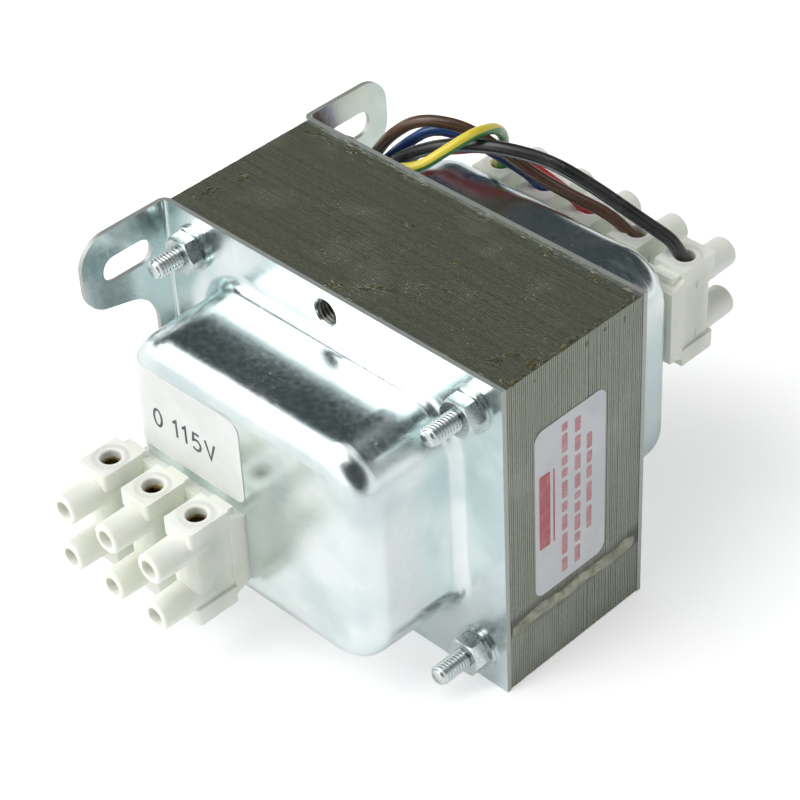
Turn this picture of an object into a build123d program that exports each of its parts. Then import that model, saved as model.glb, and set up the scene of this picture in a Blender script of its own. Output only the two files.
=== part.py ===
from build123d import *
import math
import os

# A shrouded autotransformer for fixing to a chassis, in millimetres. Z is up, X runs along the
# wide side of the core and Y through the stack. The origin is under the middle of the core, on
# the plane that it stands on. The four feet point away from the core in front and behind.

# Laminated core: scrapless E and I sheets, so every width follows from one limb
limb = 14.0
stack_depth = 35.0
ridge_count = 35
ridge_depth = 0.25
ridge_gap = 0.3
bolt_hole = 4.8
earth_thread = 5.0
earth_thread_depth = 8.0
core_width = 6 * limb
core_height = 5 * limb
core_mid = core_height / 2
bolt_x = core_width / 2 - limb / 2
bolt_low = limb / 2
bolt_high = core_height - limb / 2

# Weld run along each end of the joint between the E and I sheets
weld_height = 3.2
weld_proud = 0.45
weld_wave = 0.5
weld_waves = 9
weld_margin = 0.8

# Coil on the middle limb
bobbin_gap = 0.3
bobbin_wall = 1.2
bobbin_end_gap = 0.3
common_thickness = 5.0
insulation_thickness = 0.3
series_thickness = 4.8
wrap_thickness = 0.4
coil_corner = 1.2
winding_end_gap = 0.1
bobbin_lip = 0.9
bobbin_lip_corner = 4.0
window_gap = 0.9

# Pressed end shrouds
sheet = 1.0
flange_rise = 0.4
side_overlap = 0.2
foot_gap = 0.2
bend_inside = 0.8
lip_width = 4.2
foot_reach = 20.5
foot_height = 15.1
foot_slope = 3.8
foot_corner = 6.2
foot_hollow = 8.0
slot_length = 11.6
slot_width = 5.4
slot_out = 9.9
slot_in_from_top = 8.5
bell_half_width = 31.2
bell_half_height = 25.0
bell_depth = 22.3
bell_corner = 10.5
bell_draft = 1.5
bell_edge = 5.2
bell_blend = 2.8
earth_hole_drop = 4.8
earth_hole_chamfer = 0.35

# Clamping bolts
thread = 4.0
bolt_length = 48.5
head_diameter = 8.0
head_height = 2.9
head_edge = 1.0
recess_width = 1.0
recess_length = 4.4
recess_depth = 1.6
tip_chamfer = 0.5
nut_flats = 7.0
nut_height = 3.2
nut_chamfer = 0.35
nut_chamfer_width = 0.6
washer_diameter = 9.0
washer_bore = 4.3
washer_thickness = 0.8

# Terminal strips, cut from a long moulded strip
pitch = 11.7
front_ways = 3
rear_ways = 5
front_strip_x = -15.9
front_strip_z = 25.0
rear_strip_x = 2.6
rear_strip_z = 42.9
head_block_width = 7.4
waist_width = 6.2
block_back = 3.6
block_front = 12.7
block_half_height = 11.0
head_block_height = 3.6
block_edge = 0.6
waist_edge = 1.8
base_half_height = 7.7
base_flare = 1.5
neck_width = 5.0
neck_drop = 1.0
tower_tip = 19.9
tower_edge = 0.5
tower_spread = 5.7
tower_base_diameter = 6.6
tower_tip_diameter = 6.1
tower_bore = 3.6
entry_out = 8.0
entry_recess = 2.0
entry_mouth = 6.4
insert_diameter = 4.7
insert_bore = 3.3
insert_clearance = 0.05
clamp_screw = 3.0
clamp_screw_length = 6.0
clamp_screw_slot = 0.6
slot_half = 0.3
clamp_screw_lift = 0.4
fixing_screw = 2.9
fixing_head = 5.4
fixing_head_height = 1.9
fixing_length = 8.0
fixing_clearance = 0.15

# Lead exits, with a rubber grommet in the left wall of each shroud
exit_out = 10.0
exit_drop = 7.2
grommet_hole = 9.2
grommet_bore = 7.0
grommet_flange = 12.0
grommet_lip = 1.4
grommet_edge = 0.45
grommet_clearance = 0.06
lead_thin = 2.2
lead_brown = 2.4
lead_thick = 2.7

# Earth tag under the rear top left bolt
tag_thickness = 0.8
tag_ring = 8.0
tag_neck = 3.0
tag_barrel = 3.4
tag_barrel_length = 6.0
tag_barrel_start = 5.2
tag_tilt = 15.0
tag_straight = 3.6
tag_crimp_clearance = 0.05

# Paper labels
label_length = 38.4
label_height = 18.5
label_thickness = 0.15
label_corner = 2.2
front_label_right = 0.0
front_label_bottom = 35.1
side_label_front = -10.6
side_label_bottom = 17.6

# Places worked out from the sizes above
core_face = stack_depth / 2
flange_face = core_face + sheet
foot_plane = -(core_width / 2 + foot_gap + sheet)
flange_right = core_width / 2 + side_overlap
flange_height = core_height + flange_rise
flange_mid = flange_height / 2
bell_face = flange_face + bell_depth
base_half_flare = base_half_height + base_flare
bobbin_half_x = limb + bobbin_gap + bobbin_wall
bobbin_half_y = core_face + bobbin_gap + bobbin_wall
bobbin_height = 3 * limb - 2 * bobbin_end_gap
coil_thickness = common_thickness + insulation_thickness + series_thickness + wrap_thickness
bolt_places = [(-bolt_x, bolt_low), (bolt_x, bolt_low), (bolt_x, bolt_high), (-bolt_x, bolt_high)]
tagged_bolt = 4


def save(shape, name):
    export_step(shape, f"parts/{name}.step")


def along_y(radius, y_from, y_to, x, z):
    """A round bar or hole between two planes across Y."""
    bar = Cylinder(radius, y_to - y_from, align=(Align.CENTER, Align.CENTER, Align.MIN))
    return Plane(origin=(x, y_from, z), x_dir=(1, 0, 0), z_dir=(0, 1, 0)) * bar


def block(x_from, x_to, y_from, y_to, z_from, z_to):
    """A plain block between two corners."""
    centre = ((x_from + x_to) / 2, (y_from + y_to) / 2, (z_from + z_to) / 2)
    return Pos(*centre) * Box(x_to - x_from, y_to - y_from, z_to - z_from)


def ridge_line(level, inward):
    """The edge of the stack seen end on: one flat top for each bundle of sheets."""
    step = stack_depth / ridge_count
    points = []
    for index in range(ridge_count):
        y = -core_face + index * step
        points.append((y, level + inward * ridge_depth))
        points.append((y + ridge_gap / 2, level))
        points.append((y + step - ridge_gap / 2, level))
    points.append((core_face, level + inward * ridge_depth))
    return points


def side_ridges():
    """A prism whose two ends along X carry the ridges of the stack."""
    right = [(x, y) for y, x in ridge_line(core_width / 2, -1)]
    left = [(x, y) for y, x in reversed(ridge_line(-core_width / 2, 1))]
    return extrude(make_face(Polyline(*right, *left, close=True)), core_height)


def level_ridges(outer, inner, inward):
    """A prism whose top or underside carries the ridges of the stack."""
    corners = [(core_face, inner), (-core_face, inner)]
    outline = Polyline(*ridge_line(outer, inward), *corners, close=True)
    return extrude(Plane.YZ * make_face(outline), core_width / 2, both=True)


def bolt_holes(shape):
    for x, z in bolt_places:
        shape -= along_y(bolt_hole / 2, -core_face, core_face, x, z)
    return shape


def core_e_stack():
    stack = level_ridges(core_height, limb, -1) & side_ridges()
    for side in (-1, 1):
        middle = side * 1.5 * limb
        stack -= block(middle - limb / 2, middle + limb / 2, -core_face, core_face, limb, 4 * limb)
    stack = bolt_holes(stack)
    hole_z = flange_height - earth_hole_drop
    return stack - along_y(earth_thread / 2, -core_face, earth_thread_depth - core_face, 0, hole_z)


def core_i_stack():
    return bolt_holes(level_ridges(0, limb, 1) & side_ridges())


def joint_weld(side, stacks):
    """A wavy bead over the joint, with its underside run into the gaps between the sheets."""
    half = core_face - weld_margin
    upper = []
    for index in range(weld_waves + 1):
        y = -half + index * 2 * half / weld_waves
        wave = weld_wave * (1 if index % 2 else -1)
        upper.append((y, limb + weld_height / 2 + wave))
    lower = [(y, 2 * limb - z) for y, z in reversed(upper)]
    edge = Spline(*upper) + Spline(*lower)
    ends = Line(upper[-1], lower[0]) + Line(lower[-1], upper[0])
    face = Plane.YZ * make_face(edge + ends)
    bead = extrude(face, ridge_depth + weld_proud)
    bead = Pos(core_width / 2 - ridge_depth, 0, 0) * bead
    if side < 0:
        bead = mirror(bead, Plane.YZ)
    for stack in stacks:
        bead -= stack
    return bead


def coil_ring(inset, thickness, height):
    """One layer of the coil, around the middle limb."""
    half_x = bobbin_half_x + inset
    half_y = bobbin_half_y + inset
    corner = coil_corner + inset
    outer = RectangleRounded(2 * (half_x + thickness), 2 * (half_y + thickness), corner + thickness)
    ring = outer - RectangleRounded(2 * half_x, 2 * half_y, corner)
    return Pos(0, 0, 2.5 * limb - height / 2) * extrude(ring, height)


def coil_bobbin():
    low = 2.5 * limb - bobbin_height / 2
    opening = Rectangle(2 * (limb + bobbin_gap), 2 * (core_face + bobbin_gap))
    tube = RectangleRounded(2 * bobbin_half_x, 2 * bobbin_half_y, coil_corner) - opening
    bobbin = Pos(0, 0, low) * extrude(tube, bobbin_height)
    lip_x = 2 * limb - window_gap
    lip_y = bobbin_half_y + coil_thickness + bobbin_lip
    lip = RectangleRounded(2 * lip_x, 2 * lip_y, bobbin_lip_corner) - opening
    for z in (low, low + bobbin_height - bobbin_wall):
        bobbin += Pos(0, 0, z) * extrude(lip, bobbin_wall)
    return bobbin


def foot_outline():
    """The folded edge seen from the left: a wide foot above and below, a narrow lip between."""
    back = core_face - sheet
    tip = flange_face + foot_reach
    lip = flange_face + lip_width
    low = flange_height - foot_height
    upper = [(-back, flange_height), (-tip, flange_height), (-tip, low), (-lip, low - foot_slope)]
    lower = [(y, flange_height - z) for y, z in reversed(upper)]
    outline = make_face(Polyline(*upper, *lower, close=True))
    outer = [v for v in outline.vertices() if abs(v.X + tip) < 1e-6]
    outline = fillet(outer, foot_corner)
    hollow = [v for v in outline.vertices() if abs(v.X + lip) < 1e-6]
    outline = fillet(hollow, foot_hollow)
    return outline


def bell_solid(grow, depth_from):
    """The drawn box of the shroud as a solid, grown or shrunk evenly by one thickness."""
    width = 2 * (bell_half_width + grow)
    height = 2 * (bell_half_height + grow)
    start = Plane(origin=(0, -depth_from, flange_mid), x_dir=(1, 0, 0), z_dir=(0, -1, 0))
    outline = start * RectangleRounded(width, height, bell_corner + grow)
    depth = bell_face + grow - depth_from
    solid = extrude(outline, depth, taper=bell_draft)
    rim = solid.faces().sort_by(Axis.Y)[0].edges()
    return fillet(rim, bell_edge + grow)


def wall_plane(offset):
    """A plane on the left wall of the shroud, over the lead exit, facing outwards."""
    draft = math.radians(bell_draft)
    y = flange_face + exit_out
    x = bell_half_width - (y - core_face) * math.tan(draft)
    outward = (-math.cos(draft), -math.sin(draft), 0)
    centre = (-x + outward[0] * offset, -y + outward[1] * offset, flange_mid - exit_drop)
    return Plane(origin=centre, x_dir=(0, 0, 1), z_dir=outward)


def shroud(fixing_places):
    """One pressing, in place at the front: flange, drawn bell and the folded edge with two feet."""
    tip = flange_face + foot_reach
    inner = foot_plane + sheet
    strip = Polyline(
        (flange_right, -core_face),
        (foot_plane, -core_face),
        (foot_plane, -tip),
        (inner, -tip),
        (inner, -flange_face),
        (flange_right, -flange_face),
        close=True,
    )
    section = make_face(strip)
    outer = [v for v in section.vertices() if v.X < foot_plane + 1e-6 and v.Y > -core_face - 1e-6]
    section = fillet(outer, bend_inside + sheet)
    inside = [v for v in section.vertices() if abs(v.X - inner) < 1e-6 and abs(v.Y + flange_face) < 1e-6]
    section = fillet(inside, bend_inside)
    plate = extrude(section, flange_height)
    plate &= extrude(Plane.YZ * foot_outline(), core_width, both=True)
    for z in (flange_height - slot_in_from_top, slot_in_from_top):
        slot = Plane.YZ * Pos(-flange_face - slot_out, z) * SlotOverall(slot_length, slot_width)
        plate -= extrude(slot, core_width, both=True)
    body = plate + bell_solid(0, core_face)
    junction = [
        e
        for e in body.edges()
        if abs(e.center().Y + flange_face) < 0.01
        and abs(e.center().X) < bell_half_width + 0.1
        and abs(e.center().Z - flange_mid) < bell_half_height + 0.1
    ]
    body = fillet(junction, bell_blend)
    body -= bell_solid(-sheet, core_face)
    mouth = [
        e
        for e in body.edges()
        if abs(e.center().Y + core_face) < 0.01
        and abs(e.center().X) < bell_half_width
        and abs(e.center().Z - flange_mid) < bell_half_height
    ]
    body = fillet(mouth, bell_blend + sheet)
    for x in (-bolt_x, bolt_x):
        for z in (bolt_low, flange_height - bolt_low):
            body -= along_y(bolt_hole / 2, -flange_face, -core_face, x, z)
    hole_z = flange_height - earth_hole_drop
    body -= along_y(earth_thread / 2, -flange_face, -core_face, 0, hole_z)
    mouth = [
        e
        for e in body.edges().filter_by(GeomType.CIRCLE)
        if abs(e.arc_center.Y + flange_face) < 0.01
        and abs(e.arc_center.X) < 0.01
        and abs(e.arc_center.Z - hole_z) < 0.01
    ]
    body = chamfer(mouth, earth_hole_chamfer)
    body -= wall_plane(0) * Cylinder(grommet_hole / 2, 4 * sheet)
    for x, z in fixing_places:
        body -= along_y(fixing_screw / 2 + fixing_clearance, -bell_face, -bell_face + sheet, x, z)
    return body


def turned_over(shape):
    """The rear shroud is the same pressing turned over about X, at half the flange's height."""
    return shape.rotate(Axis((0, 0, flange_mid), (1, 0, 0)), 180)


def grommet():
    half_groove = sheet / 2 + grommet_clearance
    half = half_groove + grommet_lip
    groove = grommet_hole / 2 - grommet_clearance
    bore = grommet_bore / 2
    rim = grommet_flange / 2
    profile = Polyline(
        (bore, -half),
        (rim, -half),
        (rim, -half_groove),
        (groove, -half_groove),
        (groove, half_groove),
        (rim, half_groove),
        (rim, half),
        (bore, half),
        close=True,
    )
    ring = revolve(Plane.XZ * make_face(profile), Axis.Z)
    lips = ring.edges().filter_by(GeomType.CIRCLE).filter_by(lambda e: abs(abs(e.center().Z) - half) < 1e-6)
    return wall_plane(-sheet / 2) * fillet(lips, grommet_edge)


def bolt_stack(number):
    """How far the flange, and the earth tag on one bolt, keep the head from the core."""
    tag = tag_thickness if number == tagged_bolt else 0
    return flange_face + tag


def head_washer(number, x, z):
    start = bolt_stack(number)
    ring = along_y(washer_diameter / 2, start, start + washer_thickness, x, z)
    return ring - along_y(washer_bore / 2, start, start + washer_thickness, x, z)


def nut_washer(x, z):
    end = -flange_face
    ring = along_y(washer_diameter / 2, end - washer_thickness, end, x, z)
    return ring - along_y(washer_bore / 2, end - washer_thickness, end, x, z)


def clamp_bolt(number, x, z):
    seat = bolt_stack(number) + washer_thickness
    head = along_y(head_diameter / 2, seat, seat + head_height, x, z)
    crown = head.edges().filter_by(GeomType.CIRCLE).sort_by(Axis.Y)[-1]
    head = fillet(crown, head_edge)
    for across, tall in ((recess_length, recess_width), (recess_width, recess_length)):
        floor = seat + head_height - recess_depth
        head -= block(x - across / 2, x + across / 2, floor, floor + head_height, z - tall / 2, z + tall / 2)
    shank = along_y(thread / 2, seat - bolt_length, seat, x, z)
    tip = shank.edges().filter_by(GeomType.CIRCLE).sort_by(Axis.Y)[0]
    return head + chamfer(tip, tip_chamfer)


def clamp_nut(x, z):
    """A hexagon nut with both faces chamfered by a cone."""
    seat = -flange_face - washer_thickness
    place = Plane(origin=(x, seat, z), x_dir=(1, 0, 0), z_dir=(0, -1, 0))
    hexagon = RegularPolygon(nut_flats / 2, 6, major_radius=False)
    nut = extrude(place * hexagon, nut_height)
    corner = nut_flats / math.sqrt(3)
    disc = along_y(corner, seat - nut_height, seat, x, z)
    disc = chamfer(disc.edges().filter_by(GeomType.CIRCLE), nut_chamfer, nut_chamfer_width)
    return (nut & disc) - along_y(thread / 2, seat - nut_height, seat, x, z)


def way_places(ways, centre):
    return [centre + (index - (ways - 1) / 2) * pitch for index in range(ways)]


def terminal_housing(ways, x_centre, z_centre):
    """A moulded strip seen from the front: base, waisted blocks, square mouths and screw towers."""
    x_half = ((ways - 1) * pitch + head_block_width) / 2
    section = Polyline(
        (-bell_face, -base_half_height),
        (-bell_face, base_half_height),
        (-bell_face - block_back, base_half_flare),
        (-bell_face - block_back, -base_half_flare),
        close=True,
    )
    strip = extrude(Plane.YZ * make_face(section), x_half, both=True)
    back = -bell_face - block_back
    front = -bell_face - block_front
    high = block_half_height
    waist_high = high - head_block_height
    for x in way_places(ways, 0):
        waist = block(x - waist_width / 2, x + waist_width / 2, front, back, -waist_high, waist_high)
        waist = fillet(waist.edges().filter_by(Axis.Z).group_by(Axis.Y)[0], waist_edge)
        strip += waist
        for side in (-1, 1):
            heads = sorted((side * waist_high, side * high))
            mouth = block(x - head_block_width / 2, x + head_block_width / 2, front, back, *heads)
            strip += fillet(mouth.edges().filter_by(Axis.Z).group_by(Axis.Y)[0], block_edge)
            neck = sorted((0, side * (high - neck_drop)))
            strip += block(x - neck_width / 2, x + neck_width / 2, back, -bell_face - base_flare, *neck)
            tower = Cone(
                tower_base_diameter / 2,
                tower_tip_diameter / 2,
                tower_tip - entry_out,
                align=(Align.CENTER, Align.CENTER, Align.MIN),
            )
            tower = fillet(tower.edges().filter_by(GeomType.CIRCLE).sort_by(Axis.Z)[-1], tower_edge)
            root = (x, -bell_face - entry_out, side * tower_spread)
            strip += Plane(origin=root, x_dir=(1, 0, 0), z_dir=(0, -1, 0)) * tower
    hole = insert_diameter / 2 + insert_clearance
    for x in way_places(ways, 0):
        centre_y = -bell_face - entry_out
        strip -= Pos(x, centre_y, 0) * Cylinder(hole, 2 * high)
        for side in (-1, 1):
            funnel = Cone(hole, entry_mouth / 2, entry_recess)
            if side < 0:
                funnel = Cone(entry_mouth / 2, hole, entry_recess)
            strip -= Pos(x, centre_y, side * (high - entry_recess / 2)) * funnel
            bore_z = side * tower_spread
            strip -= along_y(tower_bore / 2, -bell_face - tower_tip, centre_y, x, bore_z)
    for x in fixing_offsets(ways):
        strip -= along_y(fixing_screw / 2 + fixing_clearance, back, -bell_face, x, 0)
    return Pos(x_centre, 0, z_centre) * strip


def fixing_offsets(ways):
    """Where the strip is screwed down: in the outermost gaps between its blocks."""
    reach = (ways / 2 - 1) * pitch
    return [-reach, reach]


def terminal_insert(x, z_centre):
    """A brass tube with its two threaded screw holes."""
    centre_y = -bell_face - entry_out
    length = 2 * (block_half_height - entry_recess)
    tube = Cylinder(insert_diameter / 2, length) - Cylinder(insert_bore / 2, length)
    tube = Pos(x, centre_y, z_centre) * tube
    for side in (-1, 1):
        z = z_centre + side * tower_spread
        tube -= along_y(clamp_screw / 2, centre_y - insert_diameter, centre_y, x, z)
    return tube


def terminal_screws(ways, x_centre, z_centre):
    """Two slotted screws for each way, wound in until they stand in the brass tube."""
    screws = []
    tip = -bell_face - entry_out - clamp_screw_lift
    for x in way_places(ways, x_centre):
        for side in (-1, 1):
            z = z_centre + side * tower_spread
            screw = along_y(clamp_screw / 2, tip - clamp_screw_length, tip, x, z)
            low = tip - clamp_screw_length
            slot = block(x - clamp_screw, x + clamp_screw, low, low + clamp_screw_slot, z - slot_half, z + slot_half)
            screws.append(screw - slot)
    return Compound(children=screws)


def strip_screws(ways, x_centre, z_centre):
    """Pan head screws that hold the strip to the shroud."""
    screws = []
    seat = -bell_face - block_back
    for offset in fixing_offsets(ways):
        x = x_centre + offset
        head = along_y(fixing_head / 2, seat - fixing_head_height, seat, x, z_centre)
        crown = head.edges().filter_by(GeomType.CIRCLE).sort_by(Axis.Y)[0]
        head = fillet(crown, fixing_head_height / 2)
        screws.append(head + along_y(fixing_screw / 2, seat, seat + fixing_length, x, z_centre))
    return Compound(children=screws)


def earth_tag(x, z):
    """A ring tag with a crimped barrel, lying on the rear flange under the washer."""
    tilt = math.radians(tag_tilt)
    along = (math.cos(tilt), 0, math.sin(tilt))
    face = Plane(origin=(x, flange_face, z), x_dir=along, z_dir=(0, 1, 0))
    tag = Circle(tag_ring / 2)
    reach = tag_barrel_start + 1
    tag += Pos(reach / 2, 0) * Rectangle(reach, tag_neck)
    plate = extrude(face * (tag - Circle(washer_bore / 2)), tag_thickness)
    barrel = Cylinder(tag_barrel / 2, tag_barrel_length, align=(Align.CENTER, Align.CENTER, Align.MIN))
    bore = Cylinder(lead_thin / 2 + tag_crimp_clearance, 2 * tag_barrel_length)
    root = face.from_local_coords(Vector(tag_barrel_start, 0, tag_barrel / 2))
    end = face.from_local_coords(Vector(tag_barrel_start + tag_barrel_length, 0, tag_barrel / 2))
    axis = Plane(origin=root, z_dir=end - root)
    return plate + axis * barrel - axis * bore


def lead(points, diameter, name):
    """A lead along straight runs joined by arcs as large as the runs allow."""
    route = [Vector(*point) for point in points]
    radii = []
    for index in range(1, len(route) - 1):
        before = route[index] - route[index - 1]
        after = route[index + 1] - route[index]
        half_turn = math.radians(before.get_angle(after) / 2)
        radii.append(0.45 * min(before.length, after.length) / math.tan(half_turn))
    path = FilletPolyline(*route, radius=radii)
    start = Plane(origin=path @ 0, z_dir=path % 0)
    tube = sweep(start * Circle(diameter / 2), path=path)
    ratio = tube.volume / (math.pi * diameter**2 / 4 * path.length)
    print(name, "length", round(path.length, 1), "volume ratio", round(ratio, 4))
    print("  radii", [round(radius, 1) for radius in radii])
    return tube


def front_label():
    """A paper label on the bell face that runs on round its left edge."""
    skin = bell_solid(label_thickness, core_face) - bell_solid(0, core_face)
    middle = front_label_bottom + label_height / 2
    draft = math.radians(bell_draft)
    flat = -front_label_right + bell_half_width - bell_depth * math.tan(draft) - bell_edge
    bend = bell_edge * math.pi / 2
    side_length = label_length - flat - bend
    long = 4 * label_length
    front = Pos(front_label_right - long / 2, middle) * RectangleRounded(long, label_height, label_corner)
    front_cut = extrude(Plane.XZ * front, 2 * bell_face)
    side_edge = -bell_face + bell_edge + side_length
    side = Pos(side_edge - long / 2, middle) * RectangleRounded(long, label_height, label_corner)
    side_cut = extrude(Plane.YZ * side, core_width, both=True)
    return skin & front_cut & side_cut


def side_label():
    """A paper label across the ridges of the right side."""
    place = Pos(side_label_front + label_height / 2, side_label_bottom + label_length / 2)
    outline = Plane.YZ * place * RectangleRounded(label_height, label_length, label_corner)
    return Pos(core_width / 2, 0, 0) * extrude(outline, label_thickness)


# Routes of the leads, chosen by eye. The rear ones leave the grommet, turn up behind the flange,
# arch over the shroud and go down into the upper mouths of the strip.
exit_y = flange_face + exit_out
coil_side = -(bobbin_half_x + coil_thickness)
entry_y = bell_face + entry_out
rear_mouth = rear_strip_z + block_half_height - entry_recess
front_mouth = front_strip_z - block_half_height + entry_recess
rear_ways_x = way_places(rear_ways, rear_strip_x)
front_ways_x = way_places(front_ways, front_strip_x)
spread = 1.45
rear_low = flange_mid + exit_drop - spread
rear_high = flange_mid + exit_drop + spread
front_low = flange_mid - exit_drop - spread
front_high = flange_mid - exit_drop + spread

brown_route = [
    (coil_side, exit_y - spread, rear_low),
    (-39.9, exit_y - spread, rear_low),
    (-40.4, 27.4, 49.5),
    (-37.2, 29.0, 57.0),
    (-31.2, 28.6, 65.6),
    (-24.4, 30.0, 71.8),
    (-16.6, 34.4, 71.4),
    (-10.6, 39.0, 65.8),
    (-4.0, 41.8, 61.3),
    (3.2, 43.8, 59.1),
    (9.8, 46.2, 57.0),
    (rear_ways_x[3], entry_y, rear_mouth),
]
black_route = [
    (coil_side, exit_y - spread, rear_high),
    (-36.6, exit_y - spread, rear_high),
    (-37.2, 26.8, 50.0),
    (-33.2, 26.4, 56.6),
    (-26.4, 28.2, 63.6),
    (-18.2, 30.4, 68.4),
    (-8.6, 34.2, 70.4),
    (1.0, 39.0, 69.0),
    (9.8, 42.6, 64.6),
    (17.4, 45.2, 60.4),
    (23.9, 48.0, 56.4),
    (rear_ways_x[4], entry_y, rear_mouth),
]
blue_route = [
    (coil_side, exit_y + spread, rear_low),
    (-39.9, exit_y + spread, rear_low),
    (-40.2, 30.8, 49.0),
    (-36.4, 31.0, 55.4),
    (-31.0, 32.0, 61.8),
    (-25.8, 35.4, 66.6),
    (-21.0, 40.2, 63.8),
    (-15.2, 44.0, 59.6),
    (-10.8, 46.6, 56.4),
    (rear_ways_x[1], entry_y, rear_mouth),
]
red_route = [
    (coil_side, exit_y + spread, rear_high),
    (-36.6, exit_y + spread, rear_high),
    (-37.0, 31.4, 49.8),
    (-32.8, 33.6, 56.0),
    (-27.6, 34.8, 61.3),
    (-22.0, 36.0, 62.8),
    (-16.0, 38.4, 64.9),
    (-10.5, 41.8, 63.8),
    (-5.4, 44.2, 60.4),
    (0.2, 46.0, 57.2),
    (rear_ways_x[2], entry_y, rear_mouth),
]
tag_out = math.radians(tag_tilt)
tag_y = flange_face + tag_barrel / 2
crimp_start = tag_barrel_start + 1.0
crimp_end = tag_barrel_start + tag_barrel_length + tag_straight
earth_route = [
    (-bolt_x + crimp_start * math.cos(tag_out), tag_y, bolt_high + crimp_start * math.sin(tag_out)),
    (-bolt_x + crimp_end * math.cos(tag_out), tag_y, bolt_high + crimp_end * math.sin(tag_out)),
    (-16.2, 22.0, 68.4),
    (-12.8, 26.4, 71.8),
    (-11.2, 31.2, 73.4),
    (-11.8, 37.2, 71.6),
    (-14.2, 42.2, 67.2),
    (-17.2, 46.0, 61.8),
    (-19.8, 47.9, 57.0),
    (rear_ways_x[0], entry_y, rear_mouth),
]
front_route_1 = [
    (coil_side, -exit_y, front_high),
    (-37.6, -exit_y, front_high),
    (-38.6, -31.0, 20.5),
    (-36.6, -36.0, 13.0),
    (-33.0, -42.4, 7.6),
    (-29.0, -47.6, 6.0),
    (front_ways_x[0], -entry_y, front_mouth),
]
front_route_2 = [
    (coil_side, -exit_y, front_low),
    (-35.0, -exit_y, front_low),
    (-35.2, -31.0, 16.5),
    (-31.4, -37.0, 9.2),
    (-24.8, -43.4, 5.4),
    (-17.6, -47.8, 5.6),
    (front_ways_x[1], -entry_y, front_mouth),
]


def main():
    os.makedirs("parts", exist_ok=True)
    e_stack = core_e_stack()
    i_stack = core_i_stack()
    save(e_stack, "core_e_stack")
    save(i_stack, "core_i_stack")
    save(joint_weld(-1, (e_stack, i_stack)), "joint_weld_left")
    save(joint_weld(1, (e_stack, i_stack)), "joint_weld_right")

    save(coil_bobbin(), "coil_bobbin")
    layer_height = bobbin_height - 2 * (bobbin_wall + winding_end_gap)
    layers = [
        ("common_winding", common_thickness),
        ("layer_insulation", insulation_thickness),
        ("series_winding", series_thickness),
        ("coil_wrap", wrap_thickness),
    ]
    inset = 0
    for name, thickness in layers:
        save(coil_ring(inset, thickness, layer_height), name)
        inset += thickness

    front_fixings = [(front_strip_x + x, front_strip_z) for x in fixing_offsets(front_ways)]
    rear_fixings = [(rear_strip_x + x, flange_height - rear_strip_z) for x in fixing_offsets(rear_ways)]
    save(shroud(front_fixings), "front_shroud")
    save(turned_over(shroud(rear_fixings)), "rear_shroud")
    save(grommet(), "front_grommet")
    save(turned_over(grommet()), "rear_grommet")

    for number, (x, z) in enumerate(bolt_places, 1):
        save(clamp_bolt(number, x, z), f"clamp_bolt_{number}")
        save(clamp_nut(x, z), f"clamp_nut_{number}")
        save(nut_washer(x, z), f"nut_washer_{number}")
        save(head_washer(number, x, z), f"head_washer_{number}")

    sides = [
        ("front", front_ways, front_strip_x, front_strip_z, 0),
        ("rear", rear_ways, -rear_strip_x, rear_strip_z, 180),
    ]
    for side, ways, x, z, turn in sides:
        place = Rot(0, 0, turn)
        save(place * terminal_housing(ways, x, z), f"{side}_terminal_housing")
        for number, way_x in enumerate(way_places(ways, x), 1):
            label = number if turn == 0 else ways + 1 - number
            save(place * terminal_insert(way_x, z), f"{side}_terminal_insert_{label}")
        save(place * terminal_screws(ways, x, z), f"{side}_terminal_screws")
        save(place * strip_screws(ways, x, z), f"{side}_strip_screws")

    tag_x, tag_z = bolt_places[tagged_bolt - 1]
    save(earth_tag(tag_x, tag_z), "earth_tag")
    leads = [
        ("earth_lead", earth_route, lead_thin),
        ("blue_lead", blue_route, lead_thin),
        ("red_lead", red_route, lead_thin),
        ("brown_lead", brown_route, lead_brown),
        ("black_lead", black_route, lead_thick),
        ("front_lead_1", front_route_1, lead_thin),
        ("front_lead_2", front_route_2, lead_thin),
    ]
    for name, route, diameter in leads:
        save(lead(route, diameter, name), name)

    save(front_label(), "front_label")
    save(side_label(), "side_label")


main()
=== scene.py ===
"""Looks of a shrouded autotransformer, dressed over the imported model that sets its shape."""

import logging
import math
import random
from collections.abc import Callable, Iterable, Sequence
from dataclasses import dataclass, field
from enum import Enum
from typing import Any

import bmesh
import bpy
from mathutils import Matrix, Vector, noise


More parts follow.
